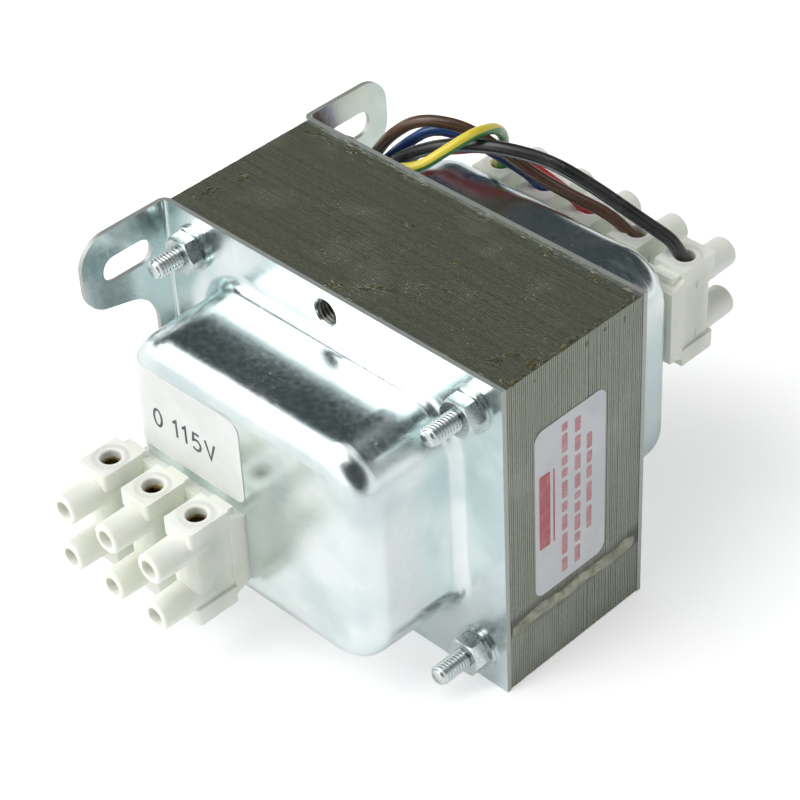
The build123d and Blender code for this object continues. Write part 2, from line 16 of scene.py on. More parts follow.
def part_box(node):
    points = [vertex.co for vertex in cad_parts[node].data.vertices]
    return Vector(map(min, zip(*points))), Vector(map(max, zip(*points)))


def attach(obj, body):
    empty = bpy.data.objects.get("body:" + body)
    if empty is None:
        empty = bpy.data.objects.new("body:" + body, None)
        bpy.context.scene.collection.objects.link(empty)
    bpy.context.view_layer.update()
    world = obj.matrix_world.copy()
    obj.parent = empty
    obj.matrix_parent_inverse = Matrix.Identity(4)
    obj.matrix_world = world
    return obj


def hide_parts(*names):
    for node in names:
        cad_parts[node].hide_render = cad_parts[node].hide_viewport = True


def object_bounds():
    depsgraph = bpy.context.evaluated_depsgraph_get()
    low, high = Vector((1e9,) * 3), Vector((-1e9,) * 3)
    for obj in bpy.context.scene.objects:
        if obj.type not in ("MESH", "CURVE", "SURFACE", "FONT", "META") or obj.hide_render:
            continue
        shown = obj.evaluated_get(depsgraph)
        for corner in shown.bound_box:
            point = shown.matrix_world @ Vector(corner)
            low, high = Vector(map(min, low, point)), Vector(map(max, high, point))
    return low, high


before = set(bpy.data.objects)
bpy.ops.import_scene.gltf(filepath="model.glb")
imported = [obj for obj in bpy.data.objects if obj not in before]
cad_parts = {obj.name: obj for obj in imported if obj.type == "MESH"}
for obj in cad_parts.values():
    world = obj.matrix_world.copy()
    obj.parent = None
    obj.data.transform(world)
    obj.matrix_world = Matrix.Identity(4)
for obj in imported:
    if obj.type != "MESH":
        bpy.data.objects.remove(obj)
CAD_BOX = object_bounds()
MM = 0.001
Colour = tuple[float, float, float]
Socket = bpy.types.NodeSocket
log = logging.getLogger("autotransformer")


class Slot(Enum):
    """The material slots that the record names."""

    CORE = "varnished_core_sheet"
    WELD = "weld_metal"
    SHROUD = "zinc_plated_sheet"
    FASTENER = "zinc_plated_fastener"
    BOBBIN = "bobbin_plastic"
    COPPER = "enamelled_copper"
    WRAP = "insulating_paper"
    NYLON = "terminal_nylon"
    BRASS = "terminal_brass"
    TAG = "tinned_tag"
    RUBBER = "grommet_rubber"
    PAPER = "label_paper"
    EARTH = "earth_insulation"
    BLUE = "blue_insulation"
    RED = "red_insulation"
    BROWN = "brown_insulation"
    BLACK = "black_insulation"


class Net:
    """Adds nodes to one tree and joins them, so that a finish reads as a list of steps."""

    def __init__(self, tree: bpy.types.NodeTree) -> None:
        """Keep the tree that the nodes go into."""
        self.tree = tree

    def feed(self, socket: Socket, value: Any) -> None:
        """Link a socket into this one, or set the number or colour that it holds.

        Args:
            socket: The input to set.
            value: A socket to link from, or a plain value.
        """
        if isinstance(value, bpy.types.NodeSocket):
            self.tree.links.new(value, socket)
        elif socket.type == "RGBA" and len(value) == 3:
            socket.default_value = (*value, 1.0)
        else:
            socket.default_value = value

    def add(self, kind: str, inputs: dict[Any, Any] | None = None, **settings: Any) -> bpy.types.Node:
        """Add one node.

        Args:
            kind: The node's type name.
            inputs: Values or sockets for its inputs, by name or place.
            **settings: The node's own settings.

        Returns:
            The new node.
        """
        node = self.tree.nodes.new(kind)
        for name, value in settings.items():
            setattr(node, name, value)
        for name, value in (inputs or {}).items():
            self.feed(node.inputs[name], value)
        return node

    def math(self, operation: str, first: Any, second: Any = 0.0, clamp: bool = False) -> Socket:
        """Join two values by one operation.

        Args:
            operation: The operation's name.
            first: The first value or socket.
            second: The second value or socket.
            clamp: Whether the result stays from 0 to 1.

        Returns:
            The result's socket.
        """
        node = self.add("ShaderNodeMath", {0: first, 1: second}, operation=operation, use_clamp=clamp)
        return node.outputs[0]

    def mix(self, factor: Any, first: Any, second: Any, blend: str = "MIX") -> Socket:
        """Mix two colours.

        Args:
            factor: How much of the second colour shows.
            first: The first colour or socket.
            second: The second colour or socket.
            blend: The way that the two are blended.

        Returns:
            The mixed colour's socket.
        """
        node = self.add("ShaderNodeMix", data_type="RGBA", blend_type=blend)
        self.feed(node.inputs[0], factor)
        self.feed(node.inputs[6], first)
        self.feed(node.inputs[7], second)
        return node.outputs[2]

    def step(self, value: Any, low: float, high: float, out_low: Any = 0.0, out_high: Any = 1.0) -> Socket:
        """Pass smoothly from one number to another as a value rises.

        Args:
            value: The value that rises.
            low: Where the passage starts.
            high: Where it ends.
            out_low: The number below the passage.
            out_high: The number above it.

        Returns:
            The result's socket.
        """
        inputs = {0: value, 1: low, 2: high, 3: out_low, 4: out_high}
        node = self.add("ShaderNodeMapRange", inputs, interpolation_type="SMOOTHSTEP")
        return node.outputs[0]

    def noise(self, place: Socket, scale: Any, detail: float = 2.0, roughness: float = 0.5) -> Socket:
        """Give cloudy noise over a surface.

        Args:
            place: The coordinates.
            scale: Clouds for each metre.
            detail: How many finer layers there are.
            roughness: How strong the finer layers are.

        Returns:
            The noise value's socket.
        """
        inputs = {"Vector": place, "Scale": scale, "Detail": detail, "Roughness": roughness}
        return self.add("ShaderNodeTexNoise", inputs).outputs[0]

    def stretch(self, place: Socket, factors: tuple[float, float, float]) -> Socket:
        """Give coordinates that are scaled by one factor along each axis."""
        return self.add("ShaderNodeVectorMath", {0: place, 1: factors}, operation="MULTIPLY").outputs[0]

    def split(self, place: Socket) -> tuple[Socket, Socket, Socket]:
        """Give the three numbers of a vector."""
        node = self.add("ShaderNodeSeparateXYZ", {0: place})
        return node.outputs[0], node.outputs[1], node.outputs[2]

    def place(self) -> Socket:
        """Give the surface's place in the frame, in metres."""
        return self.add("ShaderNodeTexCoord").outputs["Object"]

    def normal(self) -> Socket:
        """Give the direction that the surface faces."""
        return self.add("ShaderNodeNewGeometry").outputs["Normal"]

    def bump(
        self,
        height: Socket,
        distance: float,
        strength: float = 1.0,
        under: Socket | None = None,
    ) -> Socket:
        """Turn a height into a normal.

        Args:
            height: The height's socket.
            distance: The height's full range in metres.
            strength: How strongly it shows.
            under: The normal that it is laid over.

        Returns:
            The normal's socket.
        """
        inputs = {"Height": height, "Distance": distance, "Strength": strength}
        if under is not None:
            inputs["Normal"] = under
        return self.add("ShaderNodeBump", inputs).outputs[0]


class Effects:
    """The node groups that several finishes share, each built once."""

    def __init__(self) -> None:
        """Build every group."""
        self.grain = self._grain()
        self.marks = self._marks()
        self.sheets = self._sheets()
        self.drift = self._drift()

    def _open(
        self,
        name: str,
        inputs: dict[str, tuple[str, Any]],
        outputs: dict[str, str],
    ) -> tuple[Net, Any, Any]:
        """Start a group with named sockets.

        Args:
            name: The group's name.
            inputs: The kind and first value of each input.
            outputs: The kind of each output.

        Returns:
            The net, the group's input node and its output node.
        """
        tree = bpy.data.node_groups.new(name, "ShaderNodeTree")
        for label, (kind, value) in inputs.items():
            socket = tree.interface.new_socket(name=label, in_out="INPUT", socket_type=kind)
            if value is not None:
                socket.default_value = value
        for label, kind in outputs.items():
            tree.interface.new_socket(name=label, in_out="OUTPUT", socket_type=kind)
        net = Net(tree)
        return net, net.add("NodeGroupInput"), net.add("NodeGroupOutput")

    def _grain(self) -> bpy.types.NodeTree:
        """Build the fine grain of a plated, moulded or coated skin.

        Returns:
            The group, with a height from 0 to 1.
        """
        net, given, out = self._open(
            "skin_grain",
            {
                "Place": ("NodeSocketVector", None),
                "Scale": ("NodeSocketFloat", 2500.0),
                "Coarse Share": ("NodeSocketFloat", 0.4),
            },
            {"Height": "NodeSocketFloat"},
        )
        fine = net.noise(given.outputs["Place"], given.outputs["Scale"], 3.0, 0.6)
        wide = net.math("MULTIPLY", given.outputs["Scale"], 0.17)
        coarse = net.noise(given.outputs["Place"], wide, 2.0, 0.5)
        rest = net.math("SUBTRACT", 1.0, given.outputs["Coarse Share"])
        total = net.math(
            "ADD",
            net.math("MULTIPLY", fine, rest),
            net.math("MULTIPLY", coarse, given.outputs["Coarse Share"]),
        )
        net.feed(out.inputs["Height"], total)
        return net.tree

    def _marks(self) -> bpy.types.NodeTree:
        """Build small specks and thin scratches.

        Returns:
            The group, with one mask for the specks and one for the scratches.
        """
        net, given, out = self._open(
            "specks_and_scratches",
            {
                "Place": ("NodeSocketVector", None),
                "Speck Scale": ("NodeSocketFloat", 700.0),
                "Speck Size": ("NodeSocketFloat", 0.16),
                "Scratch Scale": ("NodeSocketFloat", 90.0),
            },
            {"Specks": "NodeSocketFloat", "Scratches": "NodeSocketFloat"},
        )
        place = given.outputs["Place"]
        cells = net.add("ShaderNodeTexVoronoi", {"Vector": place, "Scale": given.outputs["Speck Scale"]})
        patches = net.step(net.noise(place, 140.0, 2.0), 0.5, 0.62)
        edge = net.math("SUBTRACT", given.outputs["Speck Size"], cells.outputs["Distance"])
        specks = net.math("MULTIPLY", net.step(edge, 0.0, 0.05), patches)
        net.feed(out.inputs["Specks"], specks)
        warped = net.add(
            "ShaderNodeMapping",
            {"Vector": place, "Rotation": (0.35, 0.5, 0.9), "Scale": (1, 14, 1)},
        )
        lines = net.noise(warped.outputs[0], given.outputs["Scratch Scale"], 1.0)
        thin = net.math("ABSOLUTE", net.math("SUBTRACT", lines, 0.5))
        gate = net.step(net.noise(place, 75.0, 1.0), 0.55, 0.68)
        scratches = net.math("MULTIPLY", net.step(thin, 0.0, 0.012, 1.0, 0.0), gate)
        net.feed(out.inputs["Scratches"], scratches)
        return net.tree

    def _sheets(self) -> bpy.types.NodeTree:
        """Build the edges of stacked sheets or the turns of a winding.

        Returns:
            The group, with the height of each sheet's edge and a tone that differs for each.
        """
        net, given, out = self._open(
            "stack_lines",
            {"Along": ("NodeSocketFloat", 0.0), "Pitch": ("NodeSocketFloat", 0.0005)},
            {"Height": "NodeSocketFloat", "Tone": "NodeSocketFloat"},
        )
        count = net.math("DIVIDE", given.outputs["Along"], given.outputs["Pitch"])
        part = net.math("FRACT", net.math("ADD", count, 1000.0))
        away = net.math("ABSOLUTE", net.math("SUBTRACT", part, 0.5))
        net.feed(out.inputs["Height"], net.step(away, 0.28, 0.5, 1.0, 0.0))
        number = net.math("FLOOR", net.math("ADD", count, 1000.0))
        tone = net.add("ShaderNodeTexWhiteNoise", noise_dimensions="1D")
        net.feed(tone.inputs["W"], number)
        net.feed(out.inputs["Tone"], tone.outputs["Value"])
        return net.tree

    def _drift(self) -> bpy.types.NodeTree:
        """Build a slow change between two colours.

        Returns:
            The group, with the colour and the mask behind it.
        """
        net, given, out = self._open(
            "slow_drift",
            {
                "Place": ("NodeSocketVector", None),
                "Scale": ("NodeSocketFloat", 60.0),
                "First": ("NodeSocketColor", (0.5, 0.5, 0.5, 1.0)),
                "Second": ("NodeSocketColor", (0.6, 0.6, 0.6, 1.0)),
            },
            {"Color": "NodeSocketColor", "Mask": "NodeSocketFloat"},
        )
        cloud = net.noise(given.outputs["Place"], given.outputs["Scale"], 3.0, 0.55)
        mask = net.step(cloud, 0.36, 0.64)
        net.feed(out.inputs["Mask"], mask)
        net.feed(out.inputs["Color"], net.mix(mask, given.outputs["First"], given.outputs["Second"]))
        return net.tree


class Skin:
    """One material being made: its net, its shader and the shared effects."""

    def __init__(self, name: str, effects: Effects) -> None:
        """Open an empty material with a Principled shader.

        Args:
            name: The material's name.
            effects: The shared node groups.
        """
        self.material = bpy.data.materials.new(name)
        self.material.use_nodes = True
        self.net = Net(self.material.node_tree)
        self.shader = self.material.node_tree.nodes["Principled BSDF"]
        self.effects = effects
        self.place = self.net.place()

    def set(self, **values: Any) -> None:
        """Set or link the shader's sockets, named with underscores for spaces."""
        for name, value in values.items():
            label = " ".join(word.capitalize() for word in name.split("_"))
            self.net.feed(self.shader.inputs[label.replace("Ior", "IOR")], value)

    def group(self, tree: bpy.types.NodeTree, **inputs: Any) -> bpy.types.Node:
        """Place a shared effect with its own values.

        Args:
            tree: The node group.
            **inputs: Its inputs, named with underscores for spaces.

        Returns:
            The group's node.
        """
        node = self.net.add("ShaderNodeGroup", node_tree=tree)
        for name, value in inputs.items():
            label = " ".join(word.capitalize() for word in name.split("_"))
            self.net.feed(node.inputs[label], value)
        return node

    def grain(self, scale: float, coarse_share: float = 0.4) -> Socket:
        """Give the height of a fine grain at this scale."""
        node = self.group(self.effects.grain, place=self.place, scale=scale, coarse_share=coarse_share)
        return node.outputs["Height"]

    def drift(self, scale: float, first: Any, second: Any) -> bpy.types.Node:
        """Give a slow change between two colours."""
        return self.group(self.effects.drift, place=self.place, scale=scale, first=first, second=second)

    def marks(self, speck_scale: float, speck_size: float, scratch_scale: float) -> bpy.types.Node:
        """Give the specks and scratches at these scales."""
        return self.group(
            self.effects.marks,
            place=self.place,
            speck_scale=speck_scale,
            speck_size=speck_size,
            scratch_scale=scratch_scale,
        )


@dataclass(frozen=True)
class ZincFinish:
    """Bright zinc plating, nearly a mirror, with a fine sparkle and a blue-green cast."""

    name: str = "bright_zinc_plating"
    light: Colour = (0.83, 0.89, 0.89)
    dark: Colour = (0.66, 0.76, 0.77)
    haze: Colour = (0.92, 0.95, 0.94)
    edge: Colour = (0.47, 0.49, 0.46)
    smoothest: float = 0.17
    roughest: float = 0.27
    grain_scale: float = 4200.0
    grain_depth: float = 0.000018
    ripple_depth: float = 0.00006
    core_face: float = 0.0175
    sheet_face: float = 0.0185
    foot_line: float = -0.0420
    face_blend: float = 0.00015
    foot_blend: float = 0.0001

    def build(self, effects: Effects) -> bpy.types.Material:
        """Make the material."""
        skin = Skin(self.name, effects)
        net = skin.net
        drift = skin.drift(55.0, self.dark, self.light)
        marks = skin.marks(760.0, 0.10, 120.0)
        spots = net.math("MULTIPLY", marks.outputs["Specks"], 0.45)
        colour = net.mix(spots, drift.outputs["Color"], self.haze)
        colour = net.mix(net.math("MULTIPLY", marks.outputs["Scratches"], 0.35), colour, self.dark)
        grain = skin.grain(self.grain_scale, 0.3)
        cloud = net.noise(skin.place, 900.0, 4.0, 0.65)
        rough = net.step(cloud, 0.3, 0.7, self.smoothest, self.roughest)
        rough = net.math("ADD", rough, net.math("MULTIPLY", marks.outputs["Specks"], 0.12))
        ripple = net.bump(net.noise(skin.place, 30.0, 1.0), self.ripple_depth)
        normal = net.bump(grain, self.grain_depth, 1.0, ripple)
        normal = net.bump(marks.outputs["Scratches"], -0.00001, 0.6, normal)
        cut = self._cut_edges(skin)
        colour = net.mix(cut, colour, self.edge)
        rough = net.math("ADD", rough, net.math("MULTIPLY", cut, 0.3))
        metal = net.step(cut, 0.0, 1.0, 1.0, 0.7)
        skin.set(base_color=colour, metallic=metal, roughness=rough, normal=normal)
        return skin.material

    def _cut_edges(self, skin: Skin) -> Socket:
        """Find the cut edges of the sheet: round the flange and round the feet.

        Args:
            skin: The material being made.

        Returns:
            A mask that is 1 on a cut edge.
        """
        net = skin.net
        x, y, _ = net.split(skin.place)
        facing_x, facing_y, _ = net.split(net.normal())
        depth = net.math("ABSOLUTE", y)
        past_core = net.step(depth, self.core_face - self.face_blend, self.core_face)
        within_sheet = net.step(depth, self.sheet_face, self.sheet_face + self.face_blend, 1.0, 0.0)
        in_flange = net.math("MULTIPLY", past_core, within_sheet)
        round_flange = net.step(net.math("ABSOLUTE", facing_y), 0.4, 0.6, 1.0, 0.0)
        in_foot = net.step(x, self.foot_line - self.foot_blend, self.foot_line, 1.0, 0.0)
        round_foot = net.step(net.math("ABSOLUTE", facing_x), 0.4, 0.6, 1.0, 0.0)
        flange = net.math("MULTIPLY", in_flange, round_flange)
        foot = net.math("MULTIPLY", in_foot, round_foot)
        return net.math("MAXIMUM", flange, foot)


@dataclass(frozen=True)
class CoreFinish:
    """Edges of steel sheets under varnish: dark and olive on top, grey on the sides."""

    name: str = "varnished_sheet_edges"
    top_dark: Colour = (0.048, 0.051, 0.033)
    top_light: Colour = (0.200, 0.210, 0.152)
    side_dark: Colour = (0.262, 0.284, 0.232)
    side_light: Colour = (0.435, 0.463, 0.395)
    varnish: Colour = (0.092, 0.090, 0.056)
    burn: Colour = (0.050, 0.048, 0.038)
    pitch: float = 0.0005
    line_depth: float = 0.00009
    seam_height: float = 0.0146

    def build(self, effects: Effects) -> bpy.types.Material:
        """Make the material."""
        skin = Skin(self.name, effects)
        net = skin.net
        _, y, z = net.split(skin.place)
        lines = skin.group(effects.sheets, along=y, pitch=self.pitch)
        facing = net.split(net.normal())[2]
        upward = net.step(facing, 0.45, 0.8)
        cloud = net.noise(skin.place, 70.0, 4.0, 0.6)
        streaks = net.noise(net.stretch(skin.place, (1, 30, 1)), 110.0, 3.0, 0.6)
        fine = net.noise(net.stretch(skin.place, (0.25, 1.0, 0.25)), 3600.0, 3.0, 0.65)
        line_tone = net.math("MULTIPLY", lines.outputs["Tone"], 0.18)
        tone = net.math("ADD", line_tone, net.math("MULTIPLY", streaks, 0.12))
        tone = net.math("ADD", tone, net.step(fine, 0.35, 0.75, 0.05, 0.53))
        tone = net.math("MULTIPLY", tone, lines.outputs["Height"], True)
        top = net.mix(tone, self.top_dark, self.top_light)
        side = net.mix(tone, self.side_dark, self.side_light)
        colour = net.mix(upward, side, top)
        filled = net.step(cloud, 0.5, 0.66)
        cover = net.math("MULTIPLY", filled, net.step(upward, 0.0, 1.0, 0.12, 0.55))
        colour = net.mix(cover, colour, self.varnish)
        seam = net.math("ABSOLUTE", net.math("SUBTRACT", z, self.seam_height))
        wander = net.math("MULTIPLY", net.noise(skin.place, 160.0, 2.0), 0.003)
        near_seam = net.step(net.math("ADD", seam, wander), 0.0022, 0.0048, 0.6, 0.0)
        burnt = net.math("MULTIPLY", near_seam, net.step(upward, 0.0, 1.0, 1.0, 0.0))
        colour = net.mix(burnt, colour, self.burn)
        marks = skin.marks(900.0, 0.18, 100.0)
        colour = net.mix(net.math("MULTIPLY", marks.outputs["Specks"], 0.5), colour, self.side_light)
        rough = net.step(cloud, 0.3, 0.7, 0.52, 0.30)
        bare = net.step(filled, 0.0, 1.0, 1.0, 0.5)
        metal = net.math("MULTIPLY", net.step(upward, 0.0, 1.0, 0.45, 0.30), bare)
        deep = net.step(filled, 0.0, 1.0, 1.0, 0.35)
        height = net.math("MULTIPLY", lines.outputs["Height"], deep)
        normal = net.bump(height, self.line_depth)
        normal = net.bump(skin.grain(2200.0, 0.6), 0.00004, 0.8, normal)
        skin.set(base_color=colour, metallic=metal, roughness=rough, normal=normal)
        skin.set(coat_weight=net.math("MULTIPLY", filled, 0.5), coat_roughness=0.18)
        return skin.material


@dataclass(frozen=True)
class VarnishFinish:
    """Thick dried varnish, amber where thin and olive where it has run together."""

    name: str = "dried_varnish"
    thin: Colour = (0.088, 0.081, 0.034)
    thick: Colour = (0.046, 0.046, 0.020)

    def build(self, effects: Effects) -> bpy.types.Material:
        """Make the material."""
        skin = Skin(self.name, effects)
        drift = skin.drift(420.0, self.thin, self.thick)
        normal = skin.net.bump(skin.grain(1500.0, 0.7), 0.00008, 0.7)
        rough = skin.net.step(drift.outputs["Mask"], 0.0, 1.0, 0.16, 0.34)
        skin.set(base_color=drift.outputs["Color"], roughness=rough, normal=normal)
        skin.set(coat_weight=0.6, coat_roughness=0.08)
        return skin.material


@dataclass(frozen=True)
class WeldFinish:
    """A dull weld bead, greyer at its crown and straw-coloured at its edges."""

    name: str = "weld_bead_metal"
    crown: Colour = (0.43, 0.43, 0.35)
    edge: Colour = (0.27, 0.26, 0.20)

    def build(self, effects: Effects) -> bpy.types.Material:
        """Make the material."""
        skin = Skin(self.name, effects)
        drift = skin.drift(260.0, self.edge, self.crown)
        marks = skin.marks(1100.0, 0.2, 200.0)
        colour = skin.net.mix(marks.outputs["Specks"], drift.outputs["Color"], (0.12, 0.10, 0.07))
        normal = skin.net.bump(skin.grain(1900.0, 0.5), 0.00006, 0.8)
        rough = skin.net.step(drift.outputs["Mask"], 0.0, 1.0, 0.58, 0.42)
        skin.set(base_color=colour, metallic=0.35, roughness=rough, normal=normal)
        return skin.material


@dataclass(frozen=True)
class NylonFinish:
    """Milky nylon that lets light through, with painted shade, darker and greener, where the brass tubes are
    close behind.
    """

    name: str
    first_way: float
    way_pitch: float
    middle_z: float
    milk: Colour = (0.88, 0.90, 0.79)
    pale: Colour = (0.92, 0.94, 0.86)
    # shade is the painted shade of the brass tubes seen through the nylon.
    shade: Colour = (0.62, 0.70, 0.62)
    tube_y: float = 0.0488

    def build(self, effects: Effects) -> bpy.types.Material:
        """Make the material."""
        skin = Skin(self.name, effects)
        net = skin.net
        x, y, z = net.split(skin.place)
        # Painted shade: a mask round the line of each brass tube, within the strip's height, marks where the
        # tube's shade shows through the nylon.
        ways = net.math("DIVIDE", net.math("SUBTRACT", x, self.first_way), self.way_pitch)
        off = net.math("SUBTRACT", ways, net.math("ROUND", ways))
        side = net.math("MULTIPLY", net.math("ABSOLUTE", off), self.way_pitch)
        front = net.math("SUBTRACT", net.math("ABSOLUTE", y), self.tube_y)
        flat = net.math("SQRT", net.math("ADD", net.math("POWER", side, 2.0), net.math("POWER", front, 2.0)))
        near = net.step(flat, 0.0026, 0.0052, 1.0, 0.0)
        reach = net.math("ABSOLUTE", net.math("SUBTRACT", z, self.middle_z))
        within = net.step(reach, 0.0075, 0.0105, 1.0, 0.0)
        soft = net.step(net.noise(skin.place, 240.0, 2.0), 0.25, 0.6, 0.45, 1.0)
        brass = net.math("MULTIPLY", net.math("MULTIPLY", near, within), soft)
        drift = skin.drift(120.0, self.milk, self.pale)
        # Mix the nylon's colour towards the painted shade where the brass mask is high.
        colour = net.mix(net.math("MULTIPLY", brass, 0.62), drift.outputs["Color"], self.shade)
        rough = net.step(net.noise(skin.place, 300.0, 3.0), 0.3, 0.7, 0.30, 0.42)
        normal = net.bump(skin.grain(1400.0, 0.7), 0.00003, 0.7)
        skin.set(base_color=colour, roughness=rough, normal=normal)
        skin.set(subsurface_weight=0.4, subsurface_radius=(0.0022, 0.0024, 0.0020), subsurface_scale=1.0)
        skin.set(specular_ior_level=0.5)
        return skin.material


@dataclass(frozen=True)
class MetalFinish:
    """A small turned or stamped metal piece with fine tool lines and dulled patches."""

    name: str
    clean: Colour
    dull: Colour
    smoothest: float = 0.2
    roughest: float = 0.38
    grain_depth: float = 0.00002

    def build(self, effects: Effects) -> bpy.types.Material:
        """Make the material."""
        skin = Skin(self.name, effects)
        net = skin.net
        drift = skin.drift(300.0, self.clean, self.dull)
        marks = skin.marks(1500.0, 0.2, 300.0)
        dulled = net.math("MULTIPLY", marks.outputs["Specks"], 0.5)
        colour = net.mix(dulled, drift.outputs["Color"], self.dull)
        rough = net.step(net.noise(skin.place, 500.0, 3.0), 0.3, 0.7, self.smoothest, self.roughest)
        normal = net.bump(skin.grain(2600.0, 0.3), self.grain_depth, 0.8)
        normal = net.bump(marks.outputs["Scratches"], -0.000015, 0.5, normal)
        skin.set(base_color=colour, metallic=1.0, roughness=rough, normal=normal)
        return skin.material


@dataclass(frozen=True)
class LeadFinish:
    """Glossy PVC insulation, in one colour or with a stripe of a second along one side."""

    name: str
    body: Colour
    worn: Colour
    stripe: Colour | None = None
    stripe_facing: tuple[float, float, float] = (0.0, 0.0, 1.0)
    smoothest: float = 0.24
    roughest: float = 0.40

    def build(self, effects: Effects) -> bpy.types.Material:
        """Make the material."""
        skin = Skin(self.name, effects)
        net = skin.net
        drift = skin.drift(160.0, self.body, self.worn)
        colour = drift.outputs["Color"]
        if self.stripe is not None:
            facing = net.add(
                "ShaderNodeVectorMath",
                {0: net.normal(), 1: self.stripe_facing},
                operation="DOT_PRODUCT",
            )
            wander = net.math("MULTIPLY", net.math("SUBTRACT", net.noise(skin.place, 60.0, 1.0), 0.5), 0.25)
            shown = net.step(net.math("ADD", facing.outputs["Value"], wander), 0.02, 0.10)
            colour = net.mix(shown, colour, self.stripe)
        marks = skin.marks(800.0, 0.12, 140.0)
        colour = net.mix(net.math("MULTIPLY", marks.outputs["Scratches"], 0.3), colour, (0.55, 0.55, 0.53))
        rough = net.step(net.noise(skin.place, 260.0, 3.0), 0.3, 0.7, self.smoothest, self.roughest)
        normal = net.bump(skin.grain(1300.0, 0.75), 0.00004, 0.6)
        skin.set(base_color=colour, roughness=rough, normal=normal)
        skin.set(coat_weight=0.25, coat_roughness=0.15)
        return skin.material


@dataclass(frozen=True)
class PaperFinish:
    """Coated label paper with faint fibres and slightly lifted tone."""

    name: str
    sheet: Colour
    fibre: Colour
    roughness: float = 0.45

    def build(self, effects: Effects) -> bpy.types.Material:
        """Make the material."""
        skin = Skin(self.name, effects)
        net = skin.net
        drift = skin.drift(90.0, self.sheet, self.fibre)
        threads = net.noise(net.stretch(skin.place, (1.0, 5.0, 1.0)), 900.0, 3.0)
        colour = net.mix(net.step(threads, 0.55, 0.75, 0.0, 0.25), drift.outputs["Color"], self.fibre)
        rough = net.step(threads, 0.3, 0.7, self.roughness - 0.06, self.roughness + 0.08)
        skin.set(base_color=colour, roughness=rough, normal=net.bump(threads, 0.00002, 0.6))
        return skin.material


@dataclass(frozen=True)
class InkFinish:
    """Printing ink that covers its paper unevenly."""

    name: str
    ink: Colour
    thin: Colour

    def build(self, effects: Effects) -> bpy.types.Material:
        """Make the material."""
        skin = Skin(self.name, effects)
        net = skin.net
        cover = net.step(skin.grain(2600.0, 0.5), 0.42, 0.62)
        colour = net.mix(cover, self.ink, self.thin)
        rough = net.step(cover, 0.0, 1.0, 0.35, 0.5)
        skin.set(base_color=colour, roughness=rough, normal=net.bump(cover, 0.000005, 0.5))
        return skin.material


@dataclass(frozen=True)
class WindingFinish:
    """Turns of enamelled wire laid side by side, with painted shade in the grooves between turns and a
    painted highlight on each turn's crown.
    """

    name: str = "enamelled_turns"
    # The first colour is a painted highlight on each turn's crown, the second the painted shade in the
    # grooves between turns.
    bright: Colour = (0.55, 0.20, 0.08)
    deep: Colour = (0.22, 0.06, 0.02)
    wire: float = 0.0006

    def build(self, effects: Effects) -> bpy.types.Material:
        """Make the material."""
        skin = Skin(self.name, effects)
        net = skin.net
        turns = skin.group(effects.sheets, along=net.split(skin.place)[2], pitch=self.wire)
        # Painted shade: the tone falls to nothing in each groove between turns, over a tone that differs at
        # random from turn to turn.
        shaded = net.step(turns.outputs["Tone"], 0.0, 1.0, 0.6, 1.0)
        tone = net.math("MULTIPLY", turns.outputs["Height"], shaded)
        rough = net.step(skin.grain(900.0, 0.5), 0.3, 0.7, 0.22, 0.36)
        normal = net.bump(turns.outputs["Height"], 0.0002)
        colour = net.mix(tone, self.deep, self.bright)
        skin.set(base_color=colour, metallic=0.6, roughness=rough, normal=normal)
        skin.set(coat_weight=0.7, coat_roughness=0.12)
        return skin.material


@dataclass(frozen=True)
class PlasticFinish:
    """Moulded plastic or rubber with a faint pebbled skin."""

    name: str
    body: Colour
    worn: Colour
    roughness: float = 0.5
    grain_scale: float = 1500.0

    def build(self, effects: Effects) -> bpy.types.Material:
        """Make the material."""
        skin = Skin(self.name, effects)
        net = skin.net
        drift = skin.drift(150.0, self.body, self.worn)
        rough = net.step(drift.outputs["Mask"], 0.0, 1.0, self.roughness - 0.08, self.roughness + 0.08)
        normal = net.bump(skin.grain(self.grain_scale, 0.4), 0.00004, 0.7)
        skin.set(base_color=drift.outputs["Color"], roughness=rough, normal=normal)
        return skin.material


@dataclass(frozen=True)
class FloorFinish:
    """A plain white studio floor, bright enough that the shadow on it is faint."""

    name: str = "studio_floor"
    tone: Colour = (0.92, 0.92, 0.92)
    glow: float = 0.45
    dim: float = 0.16

    def build(self, effects: Effects) -> bpy.types.Material:
        """Make the material."""
        skin = Skin(self.name, effects)
        drift = skin.drift(2.0, self.tone, (0.90, 0.90, 0.90))
        skin.set(base_color=drift.outputs["Color"], roughness=0.9, specular_ior_level=0.1)
        seen = skin.net.add("ShaderNodeLightPath").outputs["Is Camera Ray"]
        glow = skin.net.mix(seen, (self.dim,) * 3, (self.glow,) * 3)
        skin.set(emission_color=glow, emission_strength=1.0)
        return skin.material


